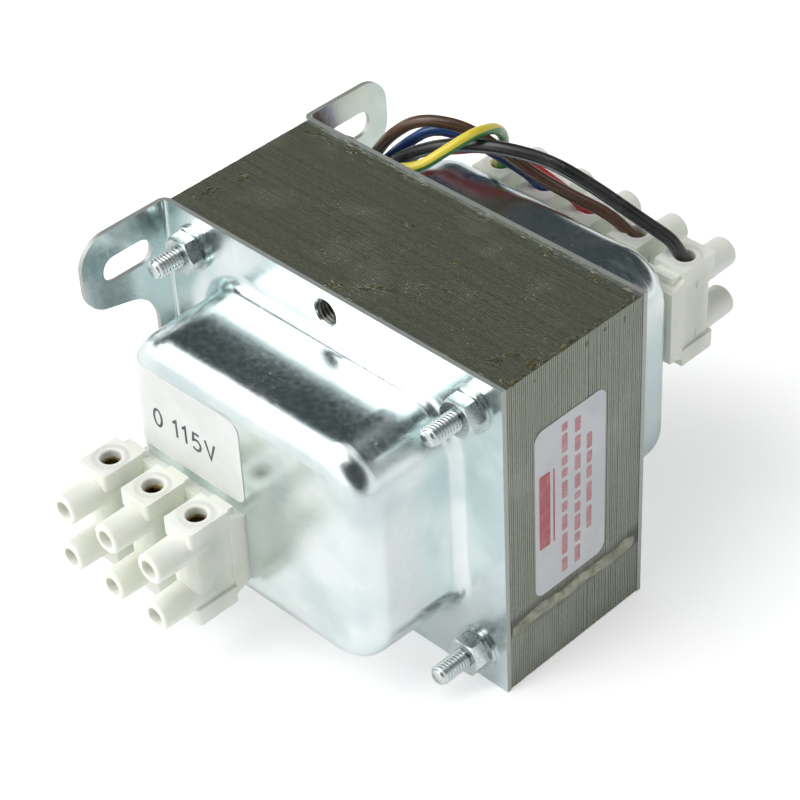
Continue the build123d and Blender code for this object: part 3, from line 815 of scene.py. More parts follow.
class Workshop:
    """Holds the shared effects, makes each finish once, and hands over finished pieces."""

    def __init__(self) -> None:
        """Build the effects and an empty shelf of materials."""
        self.effects = Effects()
        self.shelf: dict[str, bpy.types.Material] = {}

    def material(self, finish: Any) -> bpy.types.Material:
        """Give a finish's material, made on its first use."""
        if finish.name not in self.shelf:
            self.shelf[finish.name] = finish.build(self.effects)
        return self.shelf[finish.name]

    def dress(self, names: Iterable[str], finish: Any) -> None:
        """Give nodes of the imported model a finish.

        Args:
            names: The nodes' names.
            finish: The finish that they get.
        """
        material = self.material(finish)
        for name in names:
            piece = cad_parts[name]
            if not piece.material_slots:
                piece.data.materials.append(material)
            for place in piece.material_slots:
                place.material = material
            log.info("dressed %s in %s", name, finish.name)

    def hand_over(
        self,
        name: str,
        mesh: bmesh.types.BMesh,
        finish: Any,
        stands_for: Sequence[str] = (),
        smooth: bool = True,
    ) -> bpy.types.Object:
        """Turn a mesh into a piece of the object.

        Args:
            name: The piece's name.
            mesh: Its mesh, in metres and in the frame.
            finish: Its finish.
            stands_for: The nodes that it replaces.
            smooth: Whether its faces are shaded smooth.

        Returns:
            The new object.
        """
        bmesh.ops.recalc_face_normals(mesh, faces=mesh.faces)
        data = bpy.data.meshes.new(name)
        for face in mesh.faces:
            face.smooth = smooth
        mesh.to_mesh(data)
        mesh.free()
        data.materials.append(self.material(finish))
        piece = bpy.data.objects.new(name, data)
        bpy.context.scene.collection.objects.link(piece)
        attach(piece, "root")
        if stands_for:
            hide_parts(*stands_for)
        log.info("built %s with %d faces", name, len(data.polygons))
        return piece


def grid(
    mesh: bmesh.types.BMesh,
    rows: int,
    columns: int,
    point: Callable[[int, int], Vector],
    closed: bool = False,
) -> list[list[bmesh.types.BMVert]]:
    """Add a sheet of quads.

    Args:
        mesh: The mesh that it goes into.
        rows: How many rows of points there are.
        columns: How many points there are in a row.
        point: Gives the point at a row and a column.
        closed: Whether each row joins up with its own start.

    Returns:
        The new points, row by row.
    """
    net = [[mesh.verts.new(point(row, column)) for column in range(columns)] for row in range(rows)]
    steps = columns if closed else columns - 1
    for row in range(rows - 1):
        for column in range(steps):
            after = (column + 1) % columns
            mesh.faces.new((net[row][column], net[row][after], net[row + 1][after], net[row + 1][column]))
    return net


def ridge(turn: float, crest_share: float = 0.16, root_share: float = 0.24) -> float:
    """Give the height of a screw thread.

    Args:
        turn: How far round the thread the point is, in turns.
        crest_share: The share of the pitch that is flat at the crest.
        root_share: The share that is flat at the root.

    Returns:
        A height from 0 at the root to 1 at the crest.
    """
    away = abs(turn - math.floor(turn) - 0.5) * 2
    slope = 1 - crest_share - root_share
    return min(max((1 - root_share - away) / slope, 0.0), 1.0)


@dataclass
class Core:
    """The stack of sheets, the weld on each side of its joint, and the varnish on it."""

    top: float = 70.0
    half_width: float = 42.0
    half_depth: float = 17.5
    right_bead_line: float = 41.8
    long_beads: int = 46
    end_beads: int = 30
    side_drips: int = 5
    joint_z: float = 14.0
    weld_half: float = 1.6
    weld_reach: float = 16.7
    weld_proud: float = 0.45
    weld_root: float = 0.25
    weld_ripple: float = 1.15
    finish: CoreFinish = field(default_factory=CoreFinish)
    weld: WeldFinish = field(default_factory=WeldFinish)
    varnish: VarnishFinish = field(default_factory=VarnishFinish)
    limb: float = 14.0
    sheet_pitch: float = 0.5
    sheet_edge: float = 0.05
    bolt_hole: float = 2.4
    earth_hole: float = 2.5
    earth_z: float = 65.6
    earth_end: float = -9.5
    drops: tuple[tuple[float, float, float, float, float], ...] = (
        (-0.4, -15.9, 2.2, 0.9, 10.0),
        (2.6, -14.6, 2.6, 0.8, 35.0),
        (5.4, -12.0, 2.2, 0.7, 30.0),
        (8.2, -10.4, 1.4, 0.6, 20.0),
        (5.5, 16.2, 1.3, 0.6, 0.0),
        (21.7, 15.9, 2.1, 1.0, 10.0),
        (33.0, 15.8, 1.9, 1.0, -10.0),
        (35.4, -12.6, 1.9, 1.2, 25.0),
        (36.4, -9.4, 1.3, 0.8, 60.0),
        (39.8, -8.6, 1.1, 0.7, 80.0),
        (40.6, -15.8, 1.6, 0.9, 20.0),
        (-3.0, 5.8, 0.6, 0.5, 0.0),
        (11.0, 3.4, 0.5, 0.4, 0.0),
        (16.0, -3.6, 0.5, 0.5, 0.0),
        (-38.8, -11.8, 2.4, 1.1, 80.0),
        (-37.0, -4.0, 1.6, 0.8, 70.0),
        (-36.0, 15.2, 2.6, 1.1, 5.0),
        (-28.6, 15.9, 2.0, 0.8, 0.0),
        (-14.0, 16.3, 1.8, 0.6, 0.0),
    )

    def build(self, shop: Workshop) -> None:
        """Build the two stacks sheet by sheet, the welds and the varnish."""
        self._stack(shop, "e", self._e_loops())
        self._stack(shop, "i", self._i_loops())
        for side, name in ((-1, "left"), (1, "right")):
            bead = self._bead(side)
            shop.hand_over(f"weld_bead_{name}", bead, self.weld, [f"joint_weld_{name}"])
        shop.hand_over("varnish_marks", self._marks(), self.varnish)
        shop.hand_over("varnish_edge_beads", self._edge_beads(), self.varnish)

    def _hole(self, x: float, z: float, radius: float) -> list[tuple[float, float]]:
        """Give the edge of a round hole in a sheet."""
        turns = [2 * math.pi * index / 20 for index in range(20)]
        return [(x + radius * math.cos(turn), z + radius * math.sin(turn)) for turn in turns]

    def _e_loops(self) -> list[list[tuple[float, float]]]:
        """Give the outline and the bolt holes of an E sheet."""
        inner, outer, wide = self.limb, 2 * self.limb, self.half_width
        foot, head = self.joint_z, self.top - self.limb
        left = [(-wide, foot), (-outer, foot), (-outer, head), (-inner, head), (-inner, foot)]
        right = [(-x, z) for x, z in reversed(left)]
        bolts = [
            self._hole(side * 2.5 * self.limb, self.top - self.limb / 2, self.bolt_hole)
            for side in (-1, 1)
        ]
        return [[*left, *right, (wide, self.top), (-wide, self.top)], *bolts]

    def _i_loops(self) -> list[list[tuple[float, float]]]:
        """Give the outline and the bolt holes of an I sheet."""
        wide = self.half_width
        outline = [(-wide, 0.0), (wide, 0.0), (wide, self.joint_z), (-wide, self.joint_z)]
        bolts = [self._hole(side * 2.5 * self.limb, self.limb / 2, self.bolt_hole) for side in (-1, 1)]
        return [outline, *bolts]

    def _sheet(self, loops: Sequence[Sequence[tuple[float, float]]]) -> bpy.types.Mesh:
        """Build one sheet, flat, with its edges broken.

        Args:
            loops: Its outline and the edges of its holes, in millimetres.

        Returns:
            The sheet's mesh, with its thickness along the third axis.
        """
        curve = bpy.data.curves.new("sheet_outline", "CURVE")
        curve.dimensions = "2D"
        curve.fill_mode = "BOTH"
        curve.bevel_depth = self.sheet_edge * MM
        curve.bevel_resolution = 0
        curve.offset = -self.sheet_edge * MM
        curve.extrude = (self.sheet_pitch / 2 - self.sheet_edge - 0.003) * MM
        for loop in loops:
            spline = curve.splines.new("POLY")
            spline.points.add(len(loop) - 1)
            for spot, (x, z) in zip(spline.points, loop):
                spot.co = (x * MM, z * MM, 0.0, 1.0)
            spline.use_cyclic_u = True
        carrier = bpy.data.objects.new("sheet_outline", curve)
        flat = bpy.data.meshes.new_from_object(carrier)
        bpy.data.objects.remove(carrier)
        bpy.data.curves.remove(curve)
        return flat

    def _stack(self, shop: Workshop, letter: str, loops: list[list[tuple[float, float]]]) -> None:
        """Lay up one stack, each sheet a hair out of line with the next.

        Args:
            shop: The workshop.
            letter: The letter that the sheets are named by.
            loops: The outline and holes of a sheet.
        """
        plain = self._sheet(loops)
        drilled = plain
        if letter == "e":
            drilled = self._sheet([*loops, self._hole(0.0, self.earth_z, self.earth_hole)])
        mesh = bmesh.new()
        pick = random.Random(3)
        count = round(2 * self.half_depth / self.sheet_pitch)
        for index in range(count):
            y = -self.half_depth + (index + 0.5) * self.sheet_pitch
            sheet = drilled if y < self.earth_end else plain
            slide = pick.gauss(0.0, 0.018)
            drop = min(0.05, abs(pick.gauss(0.0, 0.022))) * (-1 if letter == "e" else 1)
            place = Matrix(((1, 0, 0, slide * MM), (0, 0, 1, y * MM), (0, 1, 0, drop * MM), (0, 0, 0, 1)))
            start = len(mesh.verts)
            mesh.from_mesh(sheet)
            mesh.verts.ensure_lookup_table()
            bmesh.ops.transform(mesh, matrix=place, verts=mesh.verts[start:])
        shop.hand_over(f"core_{letter}_sheets", mesh, self.finish, [f"core_{letter}_stack"], False)

    def _bead(self, side: int) -> bmesh.types.BMesh:
        """Build one weld bead with its ripples.

        Args:
            side: 1 for the right side, -1 for the left.

        Returns:
            The bead's mesh.
        """
        mesh = bmesh.new()
        rows, columns = 150, 15

        def point(row: int, column: int) -> Vector:
            """Give a point of the bead's crown."""
            y = -self.weld_reach + 2 * self.weld_reach * row / (rows - 1)
            across = -1 + 2 * column / (columns - 1)
            wander = noise.noise(Vector((y * 0.16, side * 3.0, 0))) * 0.7
            half = self.weld_half + 0.45 * noise.noise(Vector((y * 0.4, 7.0, side)))
            wave = math.sin(2 * math.pi * (y + 0.9 * across * across) / self.weld_ripple)
            ends = min(1.0, (self.weld_reach - abs(y)) / 1.2 + 0.15)
            crown = math.sqrt(max(0.0, 1 - across * across)) ** 1.3 * ends
            proud = crown * (self.weld_proud + 0.035 * wave) - 0.2 * (1 - crown)
            return Vector((side * (self.half_width + proud), y, self.joint_z + wander + across * half)) * MM

        net = grid(mesh, rows, columns, point)
        back = side * (self.half_width - self.weld_root) * MM
        far_side = [line[-1] for line in reversed(net[:-1])]
        rim = [line[0] for line in net] + net[-1][1:] + far_side + net[0][-2:0:-1]
        wall = [mesh.verts.new(Vector((back, vert.co.y, vert.co.z))) for vert in rim]
        for index, vert in enumerate(rim):
            after = (index + 1) % len(rim)
            mesh.faces.new((vert, rim[after], wall[after], wall[index]))
        mesh.faces.new(wall)
        return mesh

    def _drop(self, mesh: bmesh.types.BMesh, place: Vector, along: Vector, up: Vector, sizes: Vector) -> None:
        """Add one flat dried drop with an uneven edge.

        Args:
            mesh: The mesh that it goes into.
            place: Its middle, in millimetres.
            along: The direction of its length.
            up: The direction that it stands proud.
            sizes: Its half length, half width and height.
        """
        beside = up.cross(along)
        rings, spokes = 6, 22
        seed = place * 0.7

        def point(row: int, column: int) -> Vector:
            """Give a point of the drop."""
            angle = 2 * math.pi * column / spokes
            share = row / (rings - 1)
            heading = Vector((math.cos(angle), math.sin(angle), 0))
            uneven = 1 + 0.42 * noise.noise(heading * 1.6 + seed)
            rise = (1 - share * share) * (1 + 0.5 * noise.noise(heading * share * 2 + seed))
            flat = along * (heading.x * sizes.x) + beside * (heading.y * sizes.y)
            return (place + flat * share * uneven + up * (sizes.z * rise - 0.02)) * MM

        net = grid(mesh, rings, spokes, point, closed=True)
        bmesh.ops.remove_doubles(mesh, verts=net[0], dist=0.03 * MM)

    def _marks(self) -> bmesh.types.BMesh:
        """Build the drops and runs of varnish on the top of the stack."""
        mesh = bmesh.new()
        pick = random.Random(5)
        up = Vector((0, 0, 1))
        for x, y, half_length, half_width, turn in self.drops:
            along = Vector((math.cos(math.radians(turn)), math.sin(math.radians(turn)), 0))
            beside = up.cross(along)
            for _ in range(4 + round(5 * half_length)):
                shift = along * pick.gauss(0, 0.5 * half_length) + beside * pick.gauss(0, 0.42 * half_width)
                place = Vector((x, y, self.top)) + shift
                place.y = min(max(place.y, -self.half_depth + 0.4), self.half_depth - 0.4)
                place.x = min(max(place.x, -self.half_width + 0.4), self.half_width - 0.4)
                size = pick.uniform(0.25, 0.75)
                self._drop(mesh, place, along, up, Vector((size, size * 0.7, pick.uniform(0.06, 0.16))))
        return mesh

    def _edge_beads(self) -> bmesh.types.BMesh:
        """Build the small beads of varnish that dried along the edges of the stack."""
        mesh = bmesh.new()
        pick = random.Random(7)
        up = Vector((0, 0, 1))
        for _ in range(self.long_beads):
            x = pick.uniform(-40, 41)
            back = pick.random() < 0.72
            if back:
                y = self.half_depth - pick.uniform(0.1, 0.7)
            else:
                y = -self.half_depth + pick.uniform(0.1, 0.8)
            size = Vector((pick.uniform(0.3, 1.3), pick.uniform(0.15, 0.4), pick.uniform(0.08, 0.2)))
            self._drop(mesh, Vector((x, y, self.top)), Vector((1, 0, 0)), up, size)
        for _ in range(self.end_beads):
            y = pick.uniform(-17, 17)
            size = Vector((pick.uniform(0.3, 1.0), pick.uniform(0.2, 0.5), pick.uniform(0.08, 0.2)))
            spot = Vector((self.right_bead_line - pick.uniform(0.2, 1.0), y, self.top))
            self._drop(mesh, spot, Vector((0, 1, 0)), up, size)
        for _ in range(self.side_drips):
            place = Vector((self.half_width, pick.uniform(-17, 17), pick.uniform(66, 69.6)))
            size = Vector((pick.uniform(0.4, 1.6), pick.uniform(0.15, 0.4), pick.uniform(0.06, 0.14)))
            self._drop(mesh, place, Vector((0, 0, 1)), Vector((1, 0, 0)), size)
        return mesh


@dataclass
class Shrouds:
    """The two drawn end shrouds, their grommets, and the screw thread cut in the earth hole at the top of the
    front one.
    """

    hole_x: float = 0.0
    hole_z: float = 65.6
    hole_radius: float = 2.49
    crest_radius: float = 2.12
    pitch: float = 0.8
    mouth_y: float = -18.2
    floor_y: float = -9.8
    zinc: ZincFinish = field(default_factory=ZincFinish)
    rubber: PlasticFinish = field(
        default_factory=lambda: PlasticFinish(
            "grommet_rubber_skin", (0.018, 0.018, 0.018), (0.035, 0.034, 0.033), 0.55
        )
    )

    def build(self, shop: Workshop) -> None:
        """Dress the shrouds and grommets, and cut the earth thread."""
        shop.dress(("front_shroud", "rear_shroud"), self.zinc)
        shop.dress(("front_grommet", "rear_grommet"), self.rubber)
        finish = MetalFinish("cut_thread_steel", (0.30, 0.30, 0.28), (0.13, 0.13, 0.11), 0.3, 0.5)
        shop.hand_over("earth_hole_thread", self._thread(), finish)

    def _thread(self) -> bmesh.types.BMesh:
        """Build the inner thread of the earth hole as a ridged sleeve."""
        mesh = bmesh.new()
        spokes, rings = 40, int((self.floor_y - self.mouth_y) / self.pitch * 12) + 1
        step = (self.floor_y - self.mouth_y) / (rings - 1)

        def point(row: int, column: int) -> Vector:
            """Give a point of the thread's surface."""
            y = self.mouth_y + row * step
            turn = y / self.pitch + column / spokes
            lead_in = min(1.0, row / 8)
            radius = self.hole_radius - (self.hole_radius - self.crest_radius) * ridge(turn) * lead_in
            angle = 2 * math.pi * column / spokes
            across = self.hole_x + radius * math.cos(angle)
            up = self.hole_z + radius * math.sin(angle)
            return Vector((across, y, up)) * MM

        inner = grid(mesh, rings, spokes, point, closed=True)
        outer = []
        for row in (0, -1):
            ring = []
            for vert in inner[row]:
                away = Vector((vert.co.x - self.hole_x * MM, 0, vert.co.z - self.hole_z * MM)).normalized()
                middle = Vector((self.hole_x * MM, vert.co.y, self.hole_z * MM))
                place = middle + away * (self.hole_radius + 0.005) * MM
                ring.append(mesh.verts.new(place))
            outer.append(ring)
        for index in range(spokes):
            after = (index + 1) % spokes
            mesh.faces.new((inner[0][after], inner[0][index], outer[0][index], outer[0][after]))
            mesh.faces.new((inner[-1][index], inner[-1][after], outer[1][after], outer[1][index]))
            mesh.faces.new((outer[0][index], outer[0][after], outer[1][after], outer[1][index]))
        return mesh


@dataclass
class ClampBolts:
    """The four bolts with their rolled threads, and the nuts and washers on them."""

    places: tuple[tuple[float, float], ...] = ((-35.0, 7.0), (35.0, 7.0), (35.0, 63.0), (-35.0, 63.0))
    thread_start: float = -19.2
    crest_radius: float = 1.98
    root_radius: float = 1.56
    pitch: float = 0.7
    tip_slope: float = 0.55
    zinc: ZincFinish = field(
        default_factory=lambda: ZincFinish(
            "plated_fastener_zinc",
            (0.74, 0.79, 0.78),
            (0.52, 0.58, 0.57),
            (0.86, 0.88, 0.86),
            smoothest=0.2,
            roughest=0.32,
            grain_depth=0.000008,
        )
    )

    def build(self, shop: Workshop) -> None:
        """Dress the nuts and washers, and build the threaded bolts."""
        numbers = range(1, len(self.places) + 1)
        shop.dress((f"clamp_nut_{number}" for number in numbers), self.zinc)
        shop.dress((f"nut_washer_{number}" for number in numbers), self.zinc)
        shop.dress((f"head_washer_{number}" for number in numbers), self.zinc)
        for number, (x, z) in zip(numbers, self.places):
            node = f"clamp_bolt_{number}"
            bolt = self._bolt(node, x, z)
            shop.hand_over(f"threaded_bolt_{number}", bolt, self.zinc, [node])

    def _bolt(self, node: str, x: float, z: float) -> bmesh.types.BMesh:
        """Build one bolt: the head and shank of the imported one, and a real thread at its end.

        Args:
            node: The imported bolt's name.
            x: Its axis along X, in millimetres.
            z: Its axis along Z.

        Returns:
            The bolt's mesh.
        """
        mesh = bmesh.new()
        mesh.from_mesh(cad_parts[node].data)
        everything = mesh.verts[:] + mesh.edges[:] + mesh.faces[:]
        cut = Vector((0, (self.thread_start + 0.3) * MM, 0))
        bmesh.ops.bisect_plane(mesh, geom=everything, plane_co=cut, plane_no=(0, -1, 0), clear_outer=True)
        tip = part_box(node)[0][1] / MM
        spokes = 36
        rings = int((self.thread_start - tip) / self.pitch * 12) + 1

        def point(row: int, column: int) -> Vector:
            """Give a point of the thread's surface."""
            y = self.thread_start + (tip - self.thread_start) * row / (rings - 1)
            rise = ridge(y / self.pitch + column / spokes)
            radius = self.root_radius + (self.crest_radius - self.root_radius) * rise
            radius = min(radius, self.crest_radius - self.tip_slope + (y - tip))
            angle = 2 * math.pi * column / spokes
            return Vector((x + radius * math.cos(angle), y, z + radius * math.sin(angle))) * MM

        net = grid(mesh, rings, spokes, point, closed=True)
        mesh.faces.new(net[-1])
        mesh.faces.new(net[0])
        return mesh


@dataclass
class TerminalStrips:
    """The two moulded strips with their brass tubes, clamping screws and fixing screws."""

    pitch: float = 11.7
    front_ways: int = 3
    rear_ways: int = 5
    front_x: float = -15.9
    rear_x: float = 2.6
    front_z: float = 25.0
    rear_z: float = 42.9
    half_height: float = 11.0
    recess: float = 2.0
    mouth_radius: float = 3.2
    tube_radius: float = 2.4
    opening_radius: float = 2.0
    tube_y: float = 48.8
    brass: MetalFinish = field(
        default_factory=lambda: MetalFinish(
            "terminal_brass_skin", (0.62, 0.47, 0.24), (0.36, 0.26, 0.12), 0.22, 0.4
        )
    )
    screw: MetalFinish = field(
        default_factory=lambda: MetalFinish(
            "clamping_screw_steel", (0.52, 0.52, 0.48), (0.30, 0.29, 0.25), 0.25, 0.42
        )
    )

    def build(self, shop: Workshop) -> None:
        """Dress both strips and all that is in them."""
        sides = (
            ("front", self.front_ways, self.front_x, self.front_z),
            ("rear", self.rear_ways, self.rear_x, self.rear_z),
        )
        for side, ways, middle, height in sides:
            first = (middle - (ways - 1) * self.pitch / 2) * MM
            nylon = NylonFinish(f"{side}_strip_nylon", first, self.pitch * MM, height * MM)
            shop.dress((f"{side}_terminal_housing",), nylon)
            shop.dress((f"{side}_terminal_insert_{number}" for number in range(1, ways + 1)), self.brass)
            shop.dress((f"{side}_terminal_screws",), self.screw)
            shop.dress((f"{side}_strip_screws",), self.screw)
            places = [(middle + (number - (ways - 1) / 2) * self.pitch, height) for number in range(ways)]
            collars = self._collars(places, self.tube_y * (-1 if side == "front" else 1))
            shop.hand_over(f"{side}_entry_collars", collars, nylon, smooth=False)

    def _collars(self, places: Sequence[tuple[float, float]], y: float) -> bmesh.types.BMesh:
        """Build the moulded collars that narrow the wire entries of a strip.

        Args:
            places: The middle of each way along X and Z, in millimetres.
            y: The line of the tubes.

        Returns:
            The mesh of all the collars.
        """
        mesh = bmesh.new()
        spokes = 32
        profile = (
            (self.opening_radius + 0.10, self.half_height - self.recess + 0.02),
            (self.opening_radius, self.half_height - self.recess + 0.3),
            (self.opening_radius, self.half_height - 0.35),
            (self.opening_radius + 0.12, self.half_height - 0.1),
            (self.opening_radius + 0.4, self.half_height + 0.01),
            (self.mouth_radius + 0.05, self.half_height + 0.01),
            (self.mouth_radius, self.half_height - 0.05),
            (self.tube_radius, self.half_height - self.recess + 0.02),
        )
        for x, height in places:
            for side in (-1, 1):
                rings = []
                for radius, rise in profile:
                    turns = [2 * math.pi * index / spokes for index in range(spokes)]
                    spots = [
                        (x + radius * math.cos(t), y + radius * math.sin(t), height + side * rise)
                        for t in turns
                    ]
                    rings.append([mesh.verts.new(Vector(spot) * MM) for spot in spots])
                for first, second in zip(rings, rings[1:] + rings[:1]):
                    for index in range(spokes):
                        after = (index + 1) % spokes
                        mesh.faces.new((first[index], first[after], second[after], second[index]))
        return mesh


@dataclass
class Coil:
    """The bobbin and its windings, which the shrouds hide."""

    copper: WindingFinish = field(default_factory=WindingFinish)
    bobbin: PlasticFinish = field(
        default_factory=lambda: PlasticFinish(
            "bobbin_nylon_skin", (0.55, 0.53, 0.46), (0.62, 0.60, 0.53), 0.45
        )
    )
    wrap: PaperFinish = field(
        default_factory=lambda: PaperFinish("coil_wrap_paper", (0.62, 0.50, 0.20), (0.52, 0.42, 0.17), 0.4)
    )

    def build(self, shop: Workshop) -> None:
        """Dress the bobbin, the two windings and the layers round them."""
        shop.dress(("coil_bobbin",), self.bobbin)
        shop.dress(("common_winding", "series_winding"), self.copper)
        shop.dress(("layer_insulation", "coil_wrap"), self.wrap)


@dataclass
class Leads:
    """The insulated leads and the ring tag of the earth lead."""

    earth: LeadFinish = field(
        default_factory=lambda: LeadFinish(
            "green_and_yellow_pvc",
            (0.05, 0.25, 0.06),
            (0.06, 0.29, 0.07),
            (0.83, 0.68, 0.06),
            (-0.25, -0.1, 0.96),
        )
    )
    blue: LeadFinish = field(
        default_factory=lambda: LeadFinish("blue_pvc", (0.008, 0.042, 0.17), (0.014, 0.065, 0.23))
    )
    red: LeadFinish = field(
        default_factory=lambda: LeadFinish("red_pvc", (0.42, 0.022, 0.022), (0.52, 0.035, 0.03))
    )
    brown: LeadFinish = field(
        default_factory=lambda: LeadFinish("brown_pvc", (0.075, 0.036, 0.018), (0.105, 0.052, 0.028))
    )
    black: LeadFinish = field(
        default_factory=lambda: LeadFinish("black_pvc", (0.012, 0.012, 0.013), (0.030, 0.029, 0.028))
    )
    tin: MetalFinish = field(
        default_factory=lambda: MetalFinish(
            "tinned_copper", (0.72, 0.72, 0.70), (0.48, 0.48, 0.46), 0.24, 0.42
        )
    )

    def build(self, shop: Workshop) -> None:
        """Dress every lead and the tag."""
        shop.dress(("earth_lead",), self.earth)
        shop.dress(("blue_lead",), self.blue)
        shop.dress(("red_lead",), self.red)
        shop.dress(("brown_lead",), self.brown)
        shop.dress(("black_lead", "front_lead_1", "front_lead_2"), self.black)
        shop.dress(("earth_tag",), self.tin)


class Glyphs:
    """Plain figures drawn as strokes, each in a box one unit high."""

    STROKES = {
        "1": [[(0.02, 0.80), (0.26, 1.0), (0.26, 0.0)]],
        "5": [
            [
                (0.54, 1.0),
                (0.13, 1.0),
                (0.07, 0.55),
                (0.24, 0.64),
                (0.42, 0.61),
                (0.55, 0.48),
                (0.58, 0.30),
                (0.50, 0.10),
                (0.32, 0.0),
                (0.15, 0.02),
                (0.03, 0.12),
            ]
        ],
        "V": [[(0.0, 1.0), (0.33, 0.0), (0.66, 1.0)]],
    }

    @staticmethod
    def ring() -> list[tuple[float, float]]:
        """Give the closed stroke of a nought."""
        turns = [2 * math.pi * index / 28 for index in range(29)]
        return [(0.29 + 0.27 * math.cos(turn), 0.5 + 0.5 * math.sin(turn)) for turn in turns]


@dataclass
class Labels:
    """The two paper labels and the plain marks printed on them."""

    front_y: float = -40.95
    side_x: float = 42.15
    lift: float = 0.02
    stroke: float = 0.58
    mark_low: float = 41.4
    mark_height: float = 3.8
    nought_x: float = -23.4
    voltage_x: float = -18.2
    voltage_step: tuple[float, ...] = (0.0, 2.5, 5.2, 8.8)
    thin_rows: tuple[tuple[float, ...], ...] = (
        (-2.9, 19.6, 54.3, 0.75),
        (0.5, 19.6, 54.4, 0.75),
        (3.6, 25.8, 48.1, 0.7),
    )
    paper: PaperFinish = field(
        default_factory=lambda: PaperFinish("front_label_paper", (0.83, 0.84, 0.83), (0.76, 0.77, 0.75), 0.42)
    )
    pale_paper: PaperFinish = field(
        default_factory=lambda: PaperFinish("side_label_paper", (0.70, 0.71, 0.74), (0.64, 0.65, 0.68), 0.42)
    )
    grey_ink: InkFinish = field(
        default_factory=lambda: InkFinish("grey_print", (0.055, 0.06, 0.07), (0.11, 0.12, 0.13))
    )
    red_ink: InkFinish = field(
        default_factory=lambda: InkFinish("red_print", (0.47, 0.10, 0.11), (0.56, 0.20, 0.21))
    )
    faint_ink: InkFinish = field(
        default_factory=lambda: InkFinish("faint_red_print", (0.55, 0.25, 0.26), (0.62, 0.37, 0.38))
    )

    def build(self, shop: Workshop) -> None:
        """Dress the labels and print on them."""
        shop.dress(("front_label",), self.paper)
        shop.dress(("side_label",), self.pale_paper)
        shop.hand_over("front_label_figures", self._figures(), self.grey_ink, smooth=False)
        bold = ((-9.5, -6.7, 28.7, 45.8), (-5.9, -5.5, 28.7, 45.7))
        shop.hand_over("side_label_bold_bars", self._bars(bold), self.red_ink, smooth=False)
        thin_bars = self._bars(self._thin_rows())
        shop.hand_over("side_label_thin_bars", thin_bars, self.faint_ink, smooth=False)

    def _ribbon(self, mesh: bmesh.types.BMesh, points: Sequence[tuple[float, float]]) -> None:
        """Add one flat stroke on the front label.

        Args:
            mesh: The mesh that it goes into.
            points: Its middle line as places along X and Z, in millimetres.
        """
        closed = math.dist(points[0], points[-1]) < 1e-6
        line = [Vector(point) for point in (points[:-1] if closed else points)]
        half = self.stroke / 2
        sides: list[tuple[Any, Any]] = []
        for index, spot in enumerate(line):
            before = line[index - 1] if closed or index else None
            after = line[(index + 1) % len(line)] if closed or index < len(line) - 1 else None
            into = (spot - before).normalized() if before is not None else (after - spot).normalized()
            out = (after - spot).normalized() if after is not None else into
            across = Vector((-(into + out).y, (into + out).x)).normalized()
            reach = half / max(0.45, across.dot(Vector((-into.y, into.x))))
            pair = []
            for way in (-1, 1):
                edge = spot + across * reach * way
                pair.append(mesh.verts.new(Vector((edge.x, self.front_y - self.lift, edge.y)) * MM))
            sides.append((pair[0], pair[1]))
        steps = len(sides) if closed else len(sides) - 1
        for index in range(steps):
            first, second = sides[index], sides[(index + 1) % len(sides)]
            mesh.faces.new((first[0], second[0], second[1], first[1]))

    def _figures(self) -> bmesh.types.BMesh:
        """Draw the plain voltage marks of the front label."""
        mesh = bmesh.new()
        tall = self.mark_height

        def put(points: Iterable[tuple[float, float]], left: float) -> None:
            """Add one stroke of a figure whose box starts at left."""
            self._ribbon(mesh, [(left + x * tall, self.mark_low + z * tall) for x, z in points])

        put(Glyphs.ring(), self.nought_x)
        for figure, step in zip("115V", self.voltage_step):
            for stroke in Glyphs.STROKES[figure]:
                put(stroke, self.voltage_x + step)
        return mesh

    def _thin_rows(self) -> list[tuple[float, float, float, float]]:
        """Give the short bars of the three thin rows as low and high Y and Z."""
        pick = random.Random(11)
        bars = []
        for middle, low, high, half in self.thin_rows:
            z = low
            while z < high - 0.8:
                end = min(high, z + pick.uniform(1.6, 5.2))
                bars.append((middle - half, middle + half, z, end))
                z = end + pick.uniform(0.7, 1.1)
        return bars

    def _bars(self, bars: Iterable[tuple[float, float, float, float]]) -> bmesh.types.BMesh:
        """Lay flat bars with rounded ends on the side label.

        Args:
            bars: The low and high Y and Z of each bar.

        Returns:
            The mesh of all the bars.
        """
        mesh = bmesh.new()
        for y_low, y_high, z_low, z_high in bars:
            round_off = min(0.25, (y_high - y_low) / 3)
            corners = (
                (y_low + round_off, z_low),
                (y_high - round_off, z_low),
                (y_high, z_low + round_off),
                (y_high, z_high - round_off),
                (y_high - round_off, z_high),
                (y_low + round_off, z_high),
                (y_low, z_high - round_off),
                (y_low, z_low + round_off),
            )
            x = self.side_x + self.lift
            mesh.faces.new([mesh.verts.new(Vector((x, y, z)) * MM) for y, z in corners])
        return mesh


